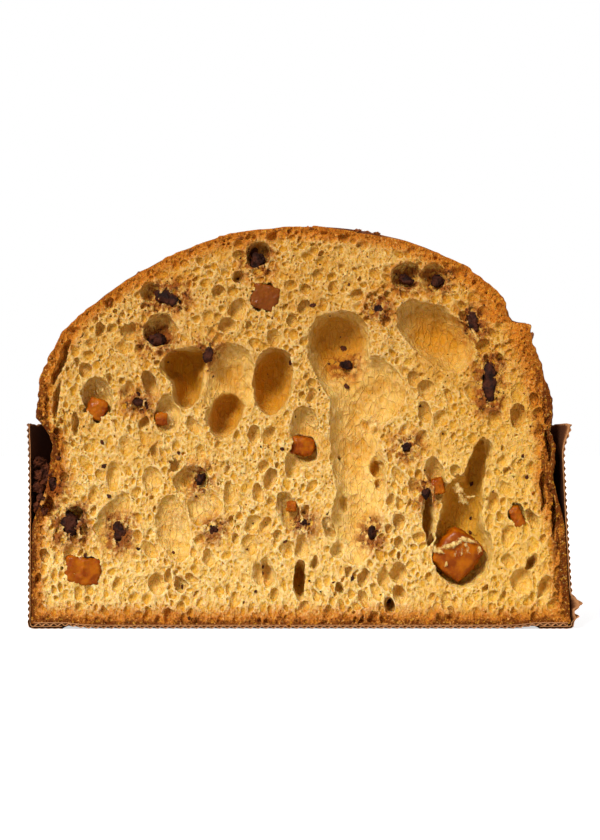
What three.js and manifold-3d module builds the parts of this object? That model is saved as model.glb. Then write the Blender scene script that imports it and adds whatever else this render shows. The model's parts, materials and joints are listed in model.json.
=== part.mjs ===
// Half of a low panettone, cut straight down, in its corrugated paper baking case.
// The cut face looks along -Y and the round back along +Y. Millimetres, +Z up, origin under the middle.
import * as THREE from "three";
import { mergeVertices } from "three/addons/utils/BufferGeometryUtils.js";
import Module from "manifold-3d";

const wasm = await Module();
wasm.setup();

// Driving dimensions.
const FOOT_RADIUS = 102.7; // outside of the case at the table
const RIM_RADIUS = 100.3; // outside of the case at its rim
const RIM_HEIGHT = 77;
const LEAN = -2.05; // how far the rim has shifted along X against the foot
const LOAF_HEIGHT = 151;
const DOME_RADIUS = 97;
const GAP = 0.3; // between touching pieces

// The paper case.
const WALL = 1.1; // corrugated wall, flutes included
const FLANGE = 0.8; // the wall's foot, folded in under the disc
const FLANGE_WIDTH = 13;
const FOLD_RADIUS = 2;
const DISC = 1.4; // corrugated disc in the bottom
const DISC_BOTTOM = FLANGE + GAP;
const LOAF_BOTTOM = DISC_BOTTOM + DISC + GAP;

// The loaf inside the case: it has shrunk away from the upper wall, most on the -X side.
const DOME_START = 79;
const WAIST_START = 36;
const WAIST_FULL = 58;
const SHOULDER = [73, 80]; // where the waist swells out into the dome
const WAIST_LEFT = 6.2;
const WAIST_RIGHT = 3.2;
const APEX_START = 104;
const APEX_SHIFT = 6.2; // the top of the dome leans back towards +X
const CORNER = 2.4; // rounding of the loaf's bottom edge

const AROUND = 56; // facets round the full circle
const SIDE_RINGS = 9;
const DOME_RINGS = 11;
const LARGE_CAVITY = 19; // taller cavities get finer facets
const HALF_SPACE = 400;

// Gas cavities laid bare by the cut: centre x and z, width, height, depth, and clockwise tilt in degrees.
const CAVITIES = [
  { at: [14.3, 108], size: [24.5, 22, 15] },
  { at: [24, 89], size: [27, 26, 8.5] },
  { at: [20.5, 56], size: [20.5, 60, 8] },
  { at: [50.6, 111], size: [31, 21, 12], tilt: 38 },
  { at: [-27.5, 89.5], size: [20.5, 34, 14], tilt: 9 },
  { at: [-44.2, 94.5], size: [14, 25, 12], tilt: 8 },
  { at: [-10.5, 92.8], size: [14.5, 26, 10], tilt: 6 },
  { at: [60, 35], size: [20.5, 40, 14], tilt: 4 },
  { at: [64.5, 56], size: [10, 34, 12], tilt: 12 },
  { at: [-76, 85.5], size: [13, 18, 8], tilt: -10 },
  { at: [-50, 80.3], size: [10.5, 15.5, 6] },
  { at: [1.5, 72], size: [11, 24, 8] },
  { at: [-41.2, 55.5], size: [12.5, 11, 5] },
  { at: [-47.6, 38], size: [13, 25, 5], tilt: -14 },
  { at: [-36.5, 46.1], size: [12, 14, 4.5] },
  { at: [-70.8, 41.5], size: [11, 21, 5], tilt: 24 },
  { at: [-56.2, 55.5], size: [6.5, 9.5, 4] },
  { at: [-5.5, 45.2], size: [8, 14, 5] },
  { at: [-0.7, 18.6], size: [5, 15, 8] },
  { at: [28.9, 58.5], size: [6, 13, 11] },
  { at: [47.6, 41.3], size: [4.6, 22, 8] },
  { at: [51, 55.5], size: [7.5, 17, 6], tilt: -12 },
  { at: [82.8, 17.8], size: [8, 9, 5] },
  { at: [-16.4, 140], size: [9, 10, 6] },
  { at: [-53.5, 112.3], size: [12.5, 12.5, 8] },
  { at: [44.3, 132.6], size: [20, 11, 7] },
];

// Candied orange peel: `back` is how far the piece's middle lies behind the cut.
const CANDIED = [
  { at: [-82.2, 21.8], size: [14, 11, 11.5], back: 3, tilt: 4 },
  { at: [58.6, 27.8], size: [16, 17, 12], back: 6, tilt: 38 },
  { at: [-76.8, 82.5], size: [7.4, 8, 6], back: 4, tilt: 20 },
  { at: [-13.5, 124.5], size: [10.5, 10, 8], back: 2.6, tilt: 15 },
  { at: [-52.5, 78.8], size: [4.6, 4.6, 4], back: 2.6, tilt: 0 },
  { at: [-3.7, 46.1], size: [3.8, 3.8, 3.8], back: 2, tilt: 0 },
  { at: [0.6, 68.6], size: [9, 7, 6], back: 5.5, tilt: 10 },
  { at: [51.4, 53.6], size: [4.8, 6.2, 5], back: 3.4, tilt: -10 },
  { at: [81.1, 42], size: [4.6, 8.4, 5], back: 2.6, tilt: -24 },
];

// Dark chocolate, in the same terms.
const CHOCOLATE = [
  { at: [-16.5, 138.2], size: [6.6, 6.6, 5], back: 3, tilt: 0 },
  { at: [-50.2, 124.3], size: [13.5, 6, 7], back: 2.4, tilt: 20 },
  { at: [-54.2, 108.6], size: [9.6, 5.6, 6], back: 4.6, tilt: -8 },
  { at: [39.8, 131.2], size: [6.2, 4.4, 5], back: 3.6, tilt: 25 },
  { at: [51.4, 130.9], size: [5.2, 5.2, 5], back: 3.2, tilt: 0 },
  { at: [-34.8, 102.8], size: [3.2, 8, 4], back: 1.4, tilt: 18 },
  { at: [64.6, 115.1], size: [4.6, 9.4, 5], back: 2, tilt: -12 },
  { at: [70.6, 92.6], size: [6.8, 17.5, 8], back: 2.6, tilt: 2 },
  { at: [-93.2, 54.6], size: [6, 7, 6], back: 3.2, tilt: 0 },
  { at: [-86.6, 39.6], size: [8.8, 11, 7], back: 2.8, tilt: -25 },
  { at: [-68.2, 36.4], size: [4.8, 10.5, 5], back: 2, tilt: -15 },
  { at: [-61.1, 85.1], size: [5.4, 4, 4], back: 1.4, tilt: 0 },
  { at: [-37.9, 56.2], size: [3, 6, 4], back: 3, tilt: 22 },
  { at: [16.6, 99.4], size: [5.8, 3.2, 4], back: 8.5, tilt: 0 },
  { at: [26.4, 35.6], size: [3.6, 6, 4], back: 3.4, tilt: 0 },
  { at: [46.9, 50.6], size: [3.2, 5.6, 4], back: 2, tilt: -8 },
  { at: [39.8, 68.2], size: [4, 4, 4], back: 1.5, tilt: 0 },
  { at: [-33, 37.1], size: [3, 3.6, 3], back: 1.2, tilt: 0 },
  { at: [0.8, 39.8], size: [3, 4.2, 3], back: 1.2, tilt: 20 },
  { at: [28.9, 120.4], size: [4.6, 3.4, 4], back: 1.4, tilt: -35 },
];

const mix = (from, to, part) => from + (to - from) * part;
const smoothstep = THREE.MathUtils.smoothstep;

// A closed geometry as a solid, with its shared corners merged.
function toSolid(geometry) {
  const bare = geometry.clone();
  for (const name of ["normal", "uv"]) bare.deleteAttribute(name);
  const merged = mergeVertices(bare, 1e-4);
  return new wasm.Manifold(
    new wasm.Mesh({
      numProp: 3,
      vertProperties: merged.attributes.position.array,
      triVerts: new Uint32Array(merged.index.array),
    }),
  );
}

// A solid as a drawable geometry.
function toGeometry(solid) {
  const mesh = solid.getMesh();
  const geometry = new THREE.BufferGeometry();
  geometry.setAttribute("position", new THREE.BufferAttribute(mesh.vertProperties, 3));
  geometry.setIndex(new THREE.BufferAttribute(mesh.triVerts, 1));
  geometry.computeVertexNormals();
  return geometry;
}

// Moves every corner of a geometry by `place`, which changes a vector in place.
function reshape(geometry, place) {
  const position = geometry.attributes.position;
  const point = new THREE.Vector3();
  for (let i = 0; i < position.count; i += 1) {
    point.fromBufferAttribute(position, i);
    place(point);
    position.setXYZ(i, point.x, point.y, point.z);
  }
  return geometry;
}

// A profile of [radius, height] points turned about +Z.
function turned(profile) {
  const points = profile.map(([radius, height]) => new THREE.Vector2(radius, height));
  return new THREE.LatheGeometry(points, AROUND).rotateX(Math.PI / 2);
}

// The half of a solid behind the cut, y >= 0.
function behindCut(solid) {
  const slab = new THREE.BoxGeometry(HALF_SPACE, HALF_SPACE, HALF_SPACE).translate(0, HALF_SPACE / 2, 0);
  return solid.intersect(toSolid(slab));
}

// Radius of the outside of the case, and the X of its middle, at a height.
const caseRadius = (z) => mix(FOOT_RADIUS, RIM_RADIUS, z / RIM_HEIGHT);
const leanAt = (z) => (LEAN * z) / RIM_HEIGHT;

const domeRadius = (z) => {
  const rise = Math.max(0, z - DOME_START) / (LOAF_HEIGHT - DOME_START);
  return DOME_RADIUS * Math.sqrt(Math.max(0, 1 - rise * rise));
};

// The loaf's radius at a height, in a direction: angle 0 is +X.
function loafRadius(z, angle) {
  const waist = mix(WAIST_RIGHT, WAIST_LEFT, (1 - Math.cos(angle)) / 2);
  const inCase = caseRadius(z) - WALL - GAP - waist * smoothstep(z, WAIST_START, WAIST_FULL);
  return mix(inCase, domeRadius(z), smoothstep(z, ...SHOULDER));
}

const loafMiddle = (z) => leanAt(Math.min(z, APEX_START)) + APEX_SHIFT * smoothstep(z, APEX_START, LOAF_HEIGHT);

// Places a shape on the cut: its size is width, height, depth, and its middle lies `back` behind the cut.
function onCut(unitGeometry, { at, size, tilt = 0, back = 0 }, grow = 1) {
  const [width, height, depth] = size;
  return unitGeometry
    .scale((width / 2) * grow, (depth / 2) * grow, (height / 2) * grow)
    .rotateY(THREE.MathUtils.degToRad(tilt))
    .translate(at[0], back, at[1]);
}

// A cavity is half an ellipsoid behind the cut, so its full depth is twice what its size says.
function cavitySolid({ at, size: [width, height, depth], tilt }) {
  const ball = new THREE.IcosahedronGeometry(1, height > LARGE_CAVITY ? 2 : 1);
  return toSolid(onCut(ball, { at, size: [width, height, depth * 2], tilt }));
}

// A diced piece of peel: a cube of half side 1 with its corners rounded off.
function peelDice() {
  const ROUNDING = 0.34;
  const dice = new THREE.BoxGeometry(2, 2, 2, 2, 2, 2);
  const onBall = new THREE.Vector3();
  return reshape(dice, (point) => {
    onBall.copy(point).setLength(1.15);
    point.lerp(onBall, ROUNDING);
  });
}

// An irregular lump of chocolate, different for each seed.
function chocolateLump(seed) {
  const ROUGHNESS = 0.13;
  return reshape(new THREE.IcosahedronGeometry(1, 1), (point) => {
    const wave = Math.sin(2.9 * point.x + seed) + Math.sin(3.7 * point.y - 2 * seed) * Math.cos(3.3 * point.z + seed);
    point.multiplyScalar(1 - ROUGHNESS + (ROUGHNESS * wave) / 2);
  });
}

// An inclusion with the pocket that it sits in, which clears it by GAP all round.
function inclusion(makeShape, piece) {
  const clear = 1 + (2.4 * GAP) / Math.min(...piece.size);
  return {
    solid: behindCut(toSolid(onCut(makeShape(), piece))),
    pocket: toSolid(onCut(makeShape(), piece, clear)),
  };
}

// The case wall: a thin wall, its rounded fold, and the flange under the disc.
function caseWall() {
  const fold = [];
  const FOLD_STEPS = 4;
  for (let i = 0; i <= FOLD_STEPS; i += 1) {
    const turn = (Math.PI / 2) * (i / FOLD_STEPS);
    fold.push([
      FOOT_RADIUS - FOLD_RADIUS + FOLD_RADIUS * Math.sin(turn),
      FOLD_RADIUS - FOLD_RADIUS * Math.cos(turn),
    ]);
  }
  const profile = [
    [FOOT_RADIUS - FLANGE_WIDTH, FLANGE],
    [FOOT_RADIUS - FLANGE_WIDTH, 0],
    ...fold,
    [RIM_RADIUS, RIM_HEIGHT],
    [RIM_RADIUS - WALL, RIM_HEIGHT],
    [FOOT_RADIUS - WALL, FOLD_RADIUS],
    [FOOT_RADIUS - FOLD_RADIUS, FLANGE],
    [FOOT_RADIUS - FLANGE_WIDTH, FLANGE],
  ];
  const leaning = reshape(turned(profile), (point) => {
    point.x += leanAt(point.z);
  });
  return behindCut(toSolid(leaning));
}

// The disc in the bottom, inside the fold.
function caseBase() {
  const radius = FOOT_RADIUS - FOLD_RADIUS - 2 * GAP;
  const profile = [
    [0, DISC_BOTTOM],
    [radius, DISC_BOTTOM],
    [radius, DISC_BOTTOM + DISC],
    [0, DISC_BOTTOM + DISC],
  ];
  return behindCut(toSolid(turned(profile)));
}

// The loaf before its cavities and pockets are cut: radius 1 in the profile stands for the full radius.
function loafBlank() {
  const profile = [
    [0, LOAF_BOTTOM],
    [0.6, LOAF_BOTTOM],
    [1 - CORNER / FOOT_RADIUS, LOAF_BOTTOM],
    [1 - (0.3 * CORNER) / FOOT_RADIUS, LOAF_BOTTOM + 0.3 * CORNER],
  ];
  const sideBottom = LOAF_BOTTOM + CORNER;
  for (let i = 0; i < SIDE_RINGS; i += 1) profile.push([1, mix(sideBottom, DOME_START, i / SIDE_RINGS)]);
  for (let i = 0; i < DOME_RINGS; i += 1) {
    const climb = Math.sin((Math.PI / 2) * (i / DOME_RINGS));
    profile.push([1, mix(DOME_START, LOAF_HEIGHT, climb)]);
  }
  profile.push([0, LOAF_HEIGHT]);
  return reshape(turned(profile), (point) => {
    const angle = Math.atan2(point.y, point.x);
    const radius = Math.hypot(point.x, point.y) * loafRadius(point.z, angle);
    point.set(loafMiddle(point.z) + radius * Math.cos(angle), radius * Math.sin(angle), point.z);
  });
}

const finishes = {
  loaf: new THREE.MeshStandardMaterial({ color: "#e0a650", roughness: 0.9 }),
  paper: new THREE.MeshStandardMaterial({ color: "#7a4020", roughness: 0.85 }),
  candied: new THREE.MeshStandardMaterial({ color: "#b85a0c", roughness: 0.3 }),
  chocolate: new THREE.MeshStandardMaterial({ color: "#2a120a", roughness: 0.4 }),
};

// The half loaf stands with the middle of its outline over the origin.
const group = new THREE.Group();
group.position.y = -FOOT_RADIUS / 2;

function addNode(name, solid, finish) {
  const mesh = new THREE.Mesh(toGeometry(solid), finish);
  mesh.name = name;
  group.add(mesh);
}

const candied = CANDIED.map((piece) => inclusion(peelDice, piece));
const chocolate = CHOCOLATE.map((piece, index) => inclusion(() => chocolateLump(index), piece));

let loaf = behindCut(toSolid(loafBlank()));
for (const cavity of CAVITIES) loaf = loaf.subtract(cavitySolid(cavity));
for (const { pocket } of [...candied, ...chocolate]) loaf = loaf.subtract(pocket);

addNode("loaf", loaf, finishes.loaf);
addNode("case_wall", caseWall(), finishes.paper);
addNode("case_base", caseBase(), finishes.paper);
candied.forEach(({ solid }, index) => addNode(`candied_orange_${index + 1}`, solid, finishes.candied));
chocolate.forEach(({ solid }, index) => {
  addNode(`chocolate_${String(index + 1).padStart(2, "0")}`, solid, finishes.chocolate);
});

export default group;
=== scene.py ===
"""Half of a low panettone in its corrugated paper baking case: the looks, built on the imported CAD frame.

The crumb is grown as a field of gas bubbles and turned into a mesh. The crust, the paper case, the candied
orange and the chocolate are modelled with Blender's own operators and modifiers. Lengths in the classes are
in millimetres unless they say otherwise, and angle 0 is +X, turning towards the round back.
"""

from __future__ import annotations

import json
import logging
import math
import sys
from collections.abc import Callable, Iterable, Sequence
from dataclasses import dataclass
from enum import Enum
from typing import Any, ClassVar

import bpy
import numpy as np
import openvdb
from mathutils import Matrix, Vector

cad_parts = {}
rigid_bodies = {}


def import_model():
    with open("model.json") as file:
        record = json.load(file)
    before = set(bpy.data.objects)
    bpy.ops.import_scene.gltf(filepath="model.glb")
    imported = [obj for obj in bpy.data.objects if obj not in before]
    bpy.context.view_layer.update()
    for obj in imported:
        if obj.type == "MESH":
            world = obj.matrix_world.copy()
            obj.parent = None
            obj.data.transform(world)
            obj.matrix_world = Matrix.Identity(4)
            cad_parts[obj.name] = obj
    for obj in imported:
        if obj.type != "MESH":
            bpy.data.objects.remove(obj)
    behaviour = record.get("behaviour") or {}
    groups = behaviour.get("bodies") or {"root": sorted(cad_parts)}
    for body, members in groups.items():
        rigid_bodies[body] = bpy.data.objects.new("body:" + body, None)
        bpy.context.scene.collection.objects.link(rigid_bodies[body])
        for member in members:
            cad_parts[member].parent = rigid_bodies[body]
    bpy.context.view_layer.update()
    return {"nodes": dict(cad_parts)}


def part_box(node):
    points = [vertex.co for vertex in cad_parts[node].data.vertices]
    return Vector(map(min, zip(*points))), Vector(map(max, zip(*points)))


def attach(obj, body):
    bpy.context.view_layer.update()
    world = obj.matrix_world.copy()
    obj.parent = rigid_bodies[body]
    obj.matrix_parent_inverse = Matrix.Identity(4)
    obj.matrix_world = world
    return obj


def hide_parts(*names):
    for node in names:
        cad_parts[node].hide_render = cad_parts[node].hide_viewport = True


MM = 0.001
BODY = "root"
log = logging.getLogger("panettone")

Array = np.ndarray
Colour = tuple[float, float, float]


def smoothstep(value: Array | float, low: float, high: float) -> Array | float:
    """Rises smoothly from 0 at low to 1 at high.

    Args:
        value: Where on the step to look.
        low: Where it starts.
        high: Where it ends.

    Returns:
        The height of the step there.
    """
    part = np.clip((np.asarray(value, dtype=np.float32) - low) / (high - low), 0.0, 1.0)
    return part * part * (3.0 - 2.0 * part)


def mix(start: Array | float, end: Array | float, part: Array | float) -> Array | float:
    """The value that lies `part` of the way from start to end."""
    return start + (end - start) * part


class Slot(Enum):
    """The record's material slots."""

    BREAD = "bread"
    PAPER = "case_paper"
    ORANGE = "candied_orange"
    CHOCOLATE = "dark_chocolate"


# ---------------------------------------------------------------------------------------------------------
# Shader nodes as Python expressions
# ---------------------------------------------------------------------------------------------------------


class Wire:
    """One output of a shader node. Arithmetic on it adds Math nodes."""

    def __init__(self, shader: Shader, socket: bpy.types.NodeSocket) -> None:
        """Wraps a socket of a shader's tree."""
        self.shader = shader
        self.socket = socket

    def _math(self, operation: str, first: Value, second: Value = 0.0) -> Wire:
        """Adds one Math node."""
        return self.shader.node("ShaderNodeMath", {"operation": operation}, {0: first, 1: second})

    def __add__(self, other: Value) -> Wire:
        """self + other."""
        return self._math("ADD", self, other)

    def __radd__(self, other: Value) -> Wire:
        """other + self."""
        return self._math("ADD", other, self)

    def __sub__(self, other: Value) -> Wire:
        """self - other."""
        return self._math("SUBTRACT", self, other)

    def __rsub__(self, other: Value) -> Wire:
        """other - self."""
        return self._math("SUBTRACT", other, self)

    def __mul__(self, other: Value) -> Wire:
        """self * other."""
        return self._math("MULTIPLY", self, other)

    def __rmul__(self, other: Value) -> Wire:
        """other * self."""
        return self._math("MULTIPLY", other, self)

    def rise(self, low: float, high: float) -> Wire:
        """A smooth step from 0 at low to 1 at high, or the other way where low is above high."""
        settings = {"interpolation_type": "SMOOTHSTEP"}
        if low < high:
            return self.shader.node("ShaderNodeMapRange", settings, {0: self, 1: low, 2: high})
        return self.shader.node("ShaderNodeMapRange", settings, {0: self, 1: high, 2: low, 3: 1.0, 4: 0.0})


Value = Wire | float | Sequence[float]


class Shader:
    """One material and its node tree."""

    def __init__(self, name: str) -> None:
        """Makes an empty material with one Principled shader.

        Args:
            name: The material's name.
        """
        self.material = bpy.data.materials.new(name)
        self.material.use_nodes = True
        self.tree = self.material.node_tree
        self.surface = next(n for n in self.tree.nodes if n.type == "BSDF_PRINCIPLED")

    def feed(self, socket: bpy.types.NodeSocket, value: Value) -> None:
        """Links or sets one input socket.

        Args:
            socket: The input.
            value: A wire, a number, or a colour or vector.
        """
        if isinstance(value, Wire):
            self.tree.links.new(value.socket, socket)
        elif isinstance(value, (int, float)):
            socket.default_value = value
        else:
            wanted = len(socket.default_value)
            socket.default_value = (*value, 1.0)[:wanted] if wanted > len(value) else tuple(value)

    def node(self, kind: str, settings: dict[str, Any] | None = None,
             inputs: dict[int | str, Value] | None = None, output: int | str = 0) -> Wire:
        """Adds any node.

        Args:
            kind: The node's type name.
            settings: Its properties, set first; `stops` gives a colour ramp's stops.
            inputs: Values or wires by socket name or number.
            output: The socket that the result reads.

        Returns:
            A wire from that output.
        """
        made = self.tree.nodes.new(kind)
        for key, value in (settings or {}).items():
            if key == "stops":
                self._set_stops(made, value)
            else:
                setattr(made, key, value)
        for key, value in (inputs or {}).items():
            self.feed(made.inputs[key], value)
        return Wire(self, made.outputs[output])

    @staticmethod
    def _set_stops(ramp: bpy.types.Node, stops: Sequence[tuple[float, Colour]]) -> None:
        """Sets a colour ramp's stops from (place, colour) pairs.

        Args:
            ramp: The colour ramp's node.
            stops: The pairs.
        """
        elements = ramp.color_ramp.elements
        while len(elements) < len(stops):
            elements.new(0.5)
        for element, (place, colour) in zip(elements, stops):
            element.position = place
            element.color = (*colour, 1.0)

    def place(self, stretch: Sequence[float] = (1.0, 1.0, 1.0),
              turn: Sequence[float] = (0.0, 0.0, 0.0)) -> Wire:
        """Object coordinates, scaled by stretch after a turn in radians."""
        where = self.node("ShaderNodeTexCoord", output="Object")
        return self.node("ShaderNodeMapping", {}, {"Vector": where, "Scale": stretch, "Rotation": turn})

    def axis(self, number: int) -> Wire:
        """One object coordinate in millimetres: 0 across, 1 towards the back, 2 up."""
        where = self.node("ShaderNodeTexCoord", output="Object")
        return self.node("ShaderNodeSeparateXYZ", {}, {0: where}, number) * (1.0 / MM)

    def noise(self, where: Wire, size: float, detail: float = 2.0, rough: float = 0.5) -> Wire:
        """Smooth noise from 0 to 1 whose features are about `size` millimetres."""
        inputs = {"Vector": where, "Scale": 1.0 / (size * MM), "Detail": detail, "Roughness": rough}
        return self.node("ShaderNodeTexNoise", {}, inputs)

    def cells(self, where: Wire, size: float, feature: str = "F1") -> Wire:
        """Distance within cells of about `size` millimetres, 0 at each cell's middle or edge."""
        inputs = {"Vector": where, "Scale": 1.0 / (size * MM)}
        return self.node("ShaderNodeTexVoronoi", {"feature": feature}, inputs)

    def attribute(self, name: str) -> Wire:
        """A number stored on the mesh."""
        return self.node("ShaderNodeAttribute", {"attribute_name": name}, output="Fac")

    def blend(self, part: Value, start: Value, end: Value, mode: str = "MIX") -> Wire:
        """Mixes two colours."""
        settings = {"data_type": "RGBA", "blend_type": mode}
        return self.node("ShaderNodeMix", settings, {0: part, 6: start, 7: end}, output=2)

    def ramp(self, value: Wire, stops: Sequence[tuple[float, Colour]]) -> Wire:
        """A colour ramp."""
        return self.node("ShaderNodeValToRGB", {"stops": stops}, {0: value})

    def dress(self, base: Value, roughness: Value, height: Wire | None, relief: float,
              **constants: Value) -> bpy.types.Material:
        """Connects the Principled shader.

        Args:
            base: Base colour.
            roughness: Roughness.
            height: Height from 0 to 1 for the bump, or None.
            relief: How many millimetres a height of 1 stands for.
            **constants: Other sockets, with underscores for spaces.

        Returns:
            The finished material.
        """
        self.feed(self.surface.inputs["Base Color"], base)
        self.feed(self.surface.inputs["Roughness"], roughness)
        if height is not None:
            inputs = {"Height": height, "Distance": relief * MM, "Strength": 1.0}
            self.feed(self.surface.inputs["Normal"], self.node("ShaderNodeBump", {}, inputs))
        for name, value in constants.items():
            self.feed(self.surface.inputs[name.replace("_", " ")], value)
        return self.material


# ---------------------------------------------------------------------------------------------------------
# Workbench: Blender's operators on one piece at a time
# ---------------------------------------------------------------------------------------------------------


class Bench:
    """The modelling operations that several pieces share."""

    @staticmethod
    def clear() -> None:
        """Deselects everything, so that the next operator acts on its own piece alone."""
        for other in bpy.context.selected_objects:
            other.select_set(False)

    @classmethod
    def take(cls, piece: bpy.types.Object) -> None:
        """Makes one piece selected and active."""
        cls.clear()
        piece.select_set(True)
        bpy.context.view_layer.objects.active = piece

    @staticmethod
    def apply(piece: bpy.types.Object, kind: str, **settings: Any) -> None:
        """Adds one modifier to a piece and applies it.

        Args:
            piece: The object to change.
            kind: The modifier's type.
            **settings: Its properties.
        """
        Bench.take(piece)
        modifier = piece.modifiers.new(kind.lower(), kind)
        for key, value in settings.items():
            setattr(modifier, key, value)
        bpy.ops.object.modifier_apply(modifier=modifier.name)

    @staticmethod
    def settle(piece: bpy.types.Object, name: str) -> bpy.types.Object:
        """Names a piece and moves its place into its mesh.

        Args:
            piece: The object to finish.
            name: Its new name.

        Returns:
            The same object, at the origin.
        """
        Bench.take(piece)
        piece.name = name
        piece.data.name = name
        bpy.ops.object.transform_apply(location=True, rotation=True, scale=True)
        return piece

    @staticmethod
    def turned(name: str, outline: Sequence[tuple[float, float]], centre_y: float,
               steps: int) -> bpy.types.Object:
        """Turns an outline half way round a standing axis.

        Args:
            name: The new piece's name.
            outline: Points (radius, height) in millimetres, drawn on the +X side of the cut.
            centre_y: Where the axis stands along Y, in millimetres.
            steps: Facets in the half turn.

        Returns:
            The open half-turned sheet.
        """
        Bench.clear()
        bpy.ops.mesh.primitive_plane_add(size=1.0, location=(0.0, 0.0, 0.0))
        piece = bpy.context.object
        piece.name = name
        bpy.ops.object.mode_set(mode="EDIT")
        bpy.ops.mesh.select_mode(type="VERT")
        bpy.ops.mesh.select_all(action="SELECT")
        bpy.ops.mesh.merge(type="CENTER")
        first = Vector((outline[0][0], centre_y, outline[0][1])) * MM
        bpy.ops.transform.translate(value=first)
        for (radius, height), (next_radius, next_height) in zip(outline, outline[1:]):
            step = Vector((next_radius - radius, 0.0, next_height - height)) * MM
            bpy.ops.mesh.extrude_region_move(TRANSFORM_OT_translate={"value": step})
        bpy.ops.mesh.select_all(action="SELECT")
        bpy.ops.mesh.spin(steps=steps, angle=-math.pi, center=(0.0, centre_y * MM, 0.0), axis=(0.0, 0.0, 1.0))
        bpy.ops.mesh.select_all(action="SELECT")
        bpy.ops.mesh.remove_doubles(threshold=0.02 * MM)
        bpy.ops.mesh.normals_make_consistent(inside=False)
        bpy.ops.object.mode_set(mode="OBJECT")
        return piece

    @staticmethod
    def corners(piece: bpy.types.Object) -> Array:
        """A piece's vertices in millimetres, one row each."""
        flat = np.empty(len(piece.data.vertices) * 3, dtype=np.float32)
        piece.data.vertices.foreach_get("co", flat)
        return flat.reshape(-1, 3) / MM

    @staticmethod
    def move_corners(piece: bpy.types.Object, corners: Array) -> None:
        """Puts a piece's vertices at new places, in millimetres."""
        piece.data.vertices.foreach_set("co", (corners * MM).astype(np.float32).ravel())
        piece.data.update()

    @staticmethod
    def mark(piece: bpy.types.Object, name: str, values: Array) -> None:
        """Stores one number per vertex for the material to read."""
        attribute = piece.data.attributes.new(name, "FLOAT", "POINT")
        attribute.data.foreach_set("value", values.astype(np.float32))

    @staticmethod
    def clouds(name: str, size: float, depth: int = 2) -> bpy.types.Texture:
        """A cloud texture for the Displace modifier, with features of about `size` millimetres.

        Args:
            name: The texture's name.
            size: How wide its features are.
            depth: How many finer layers it has.

        Returns:
            The texture.
        """
        texture = bpy.data.textures.new(name, "CLOUDS")
        texture.noise_scale = size * MM
        texture.noise_depth = depth
        return texture

    @staticmethod
    def seat(piece: bpy.types.Object, slot: Slot, material: bpy.types.Material, *nodes: str) -> None:
        """Gives a finished piece its material and body, and hides the CAD nodes that it stands for.

        Args:
            piece: The finished object.
            slot: Its material slot in the record; not used.
            material: What it is made of.
            *nodes: The CAD nodes that it replaces.
        """
        piece.data.materials.clear()
        piece.data.materials.append(material)
        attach(piece, BODY)
        if nodes:
            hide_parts(*nodes)
        log.info("%s: %d faces", piece.name, len(piece.data.polygons))


# ---------------------------------------------------------------------------------------------------------
# The loaf
# ---------------------------------------------------------------------------------------------------------


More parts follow.
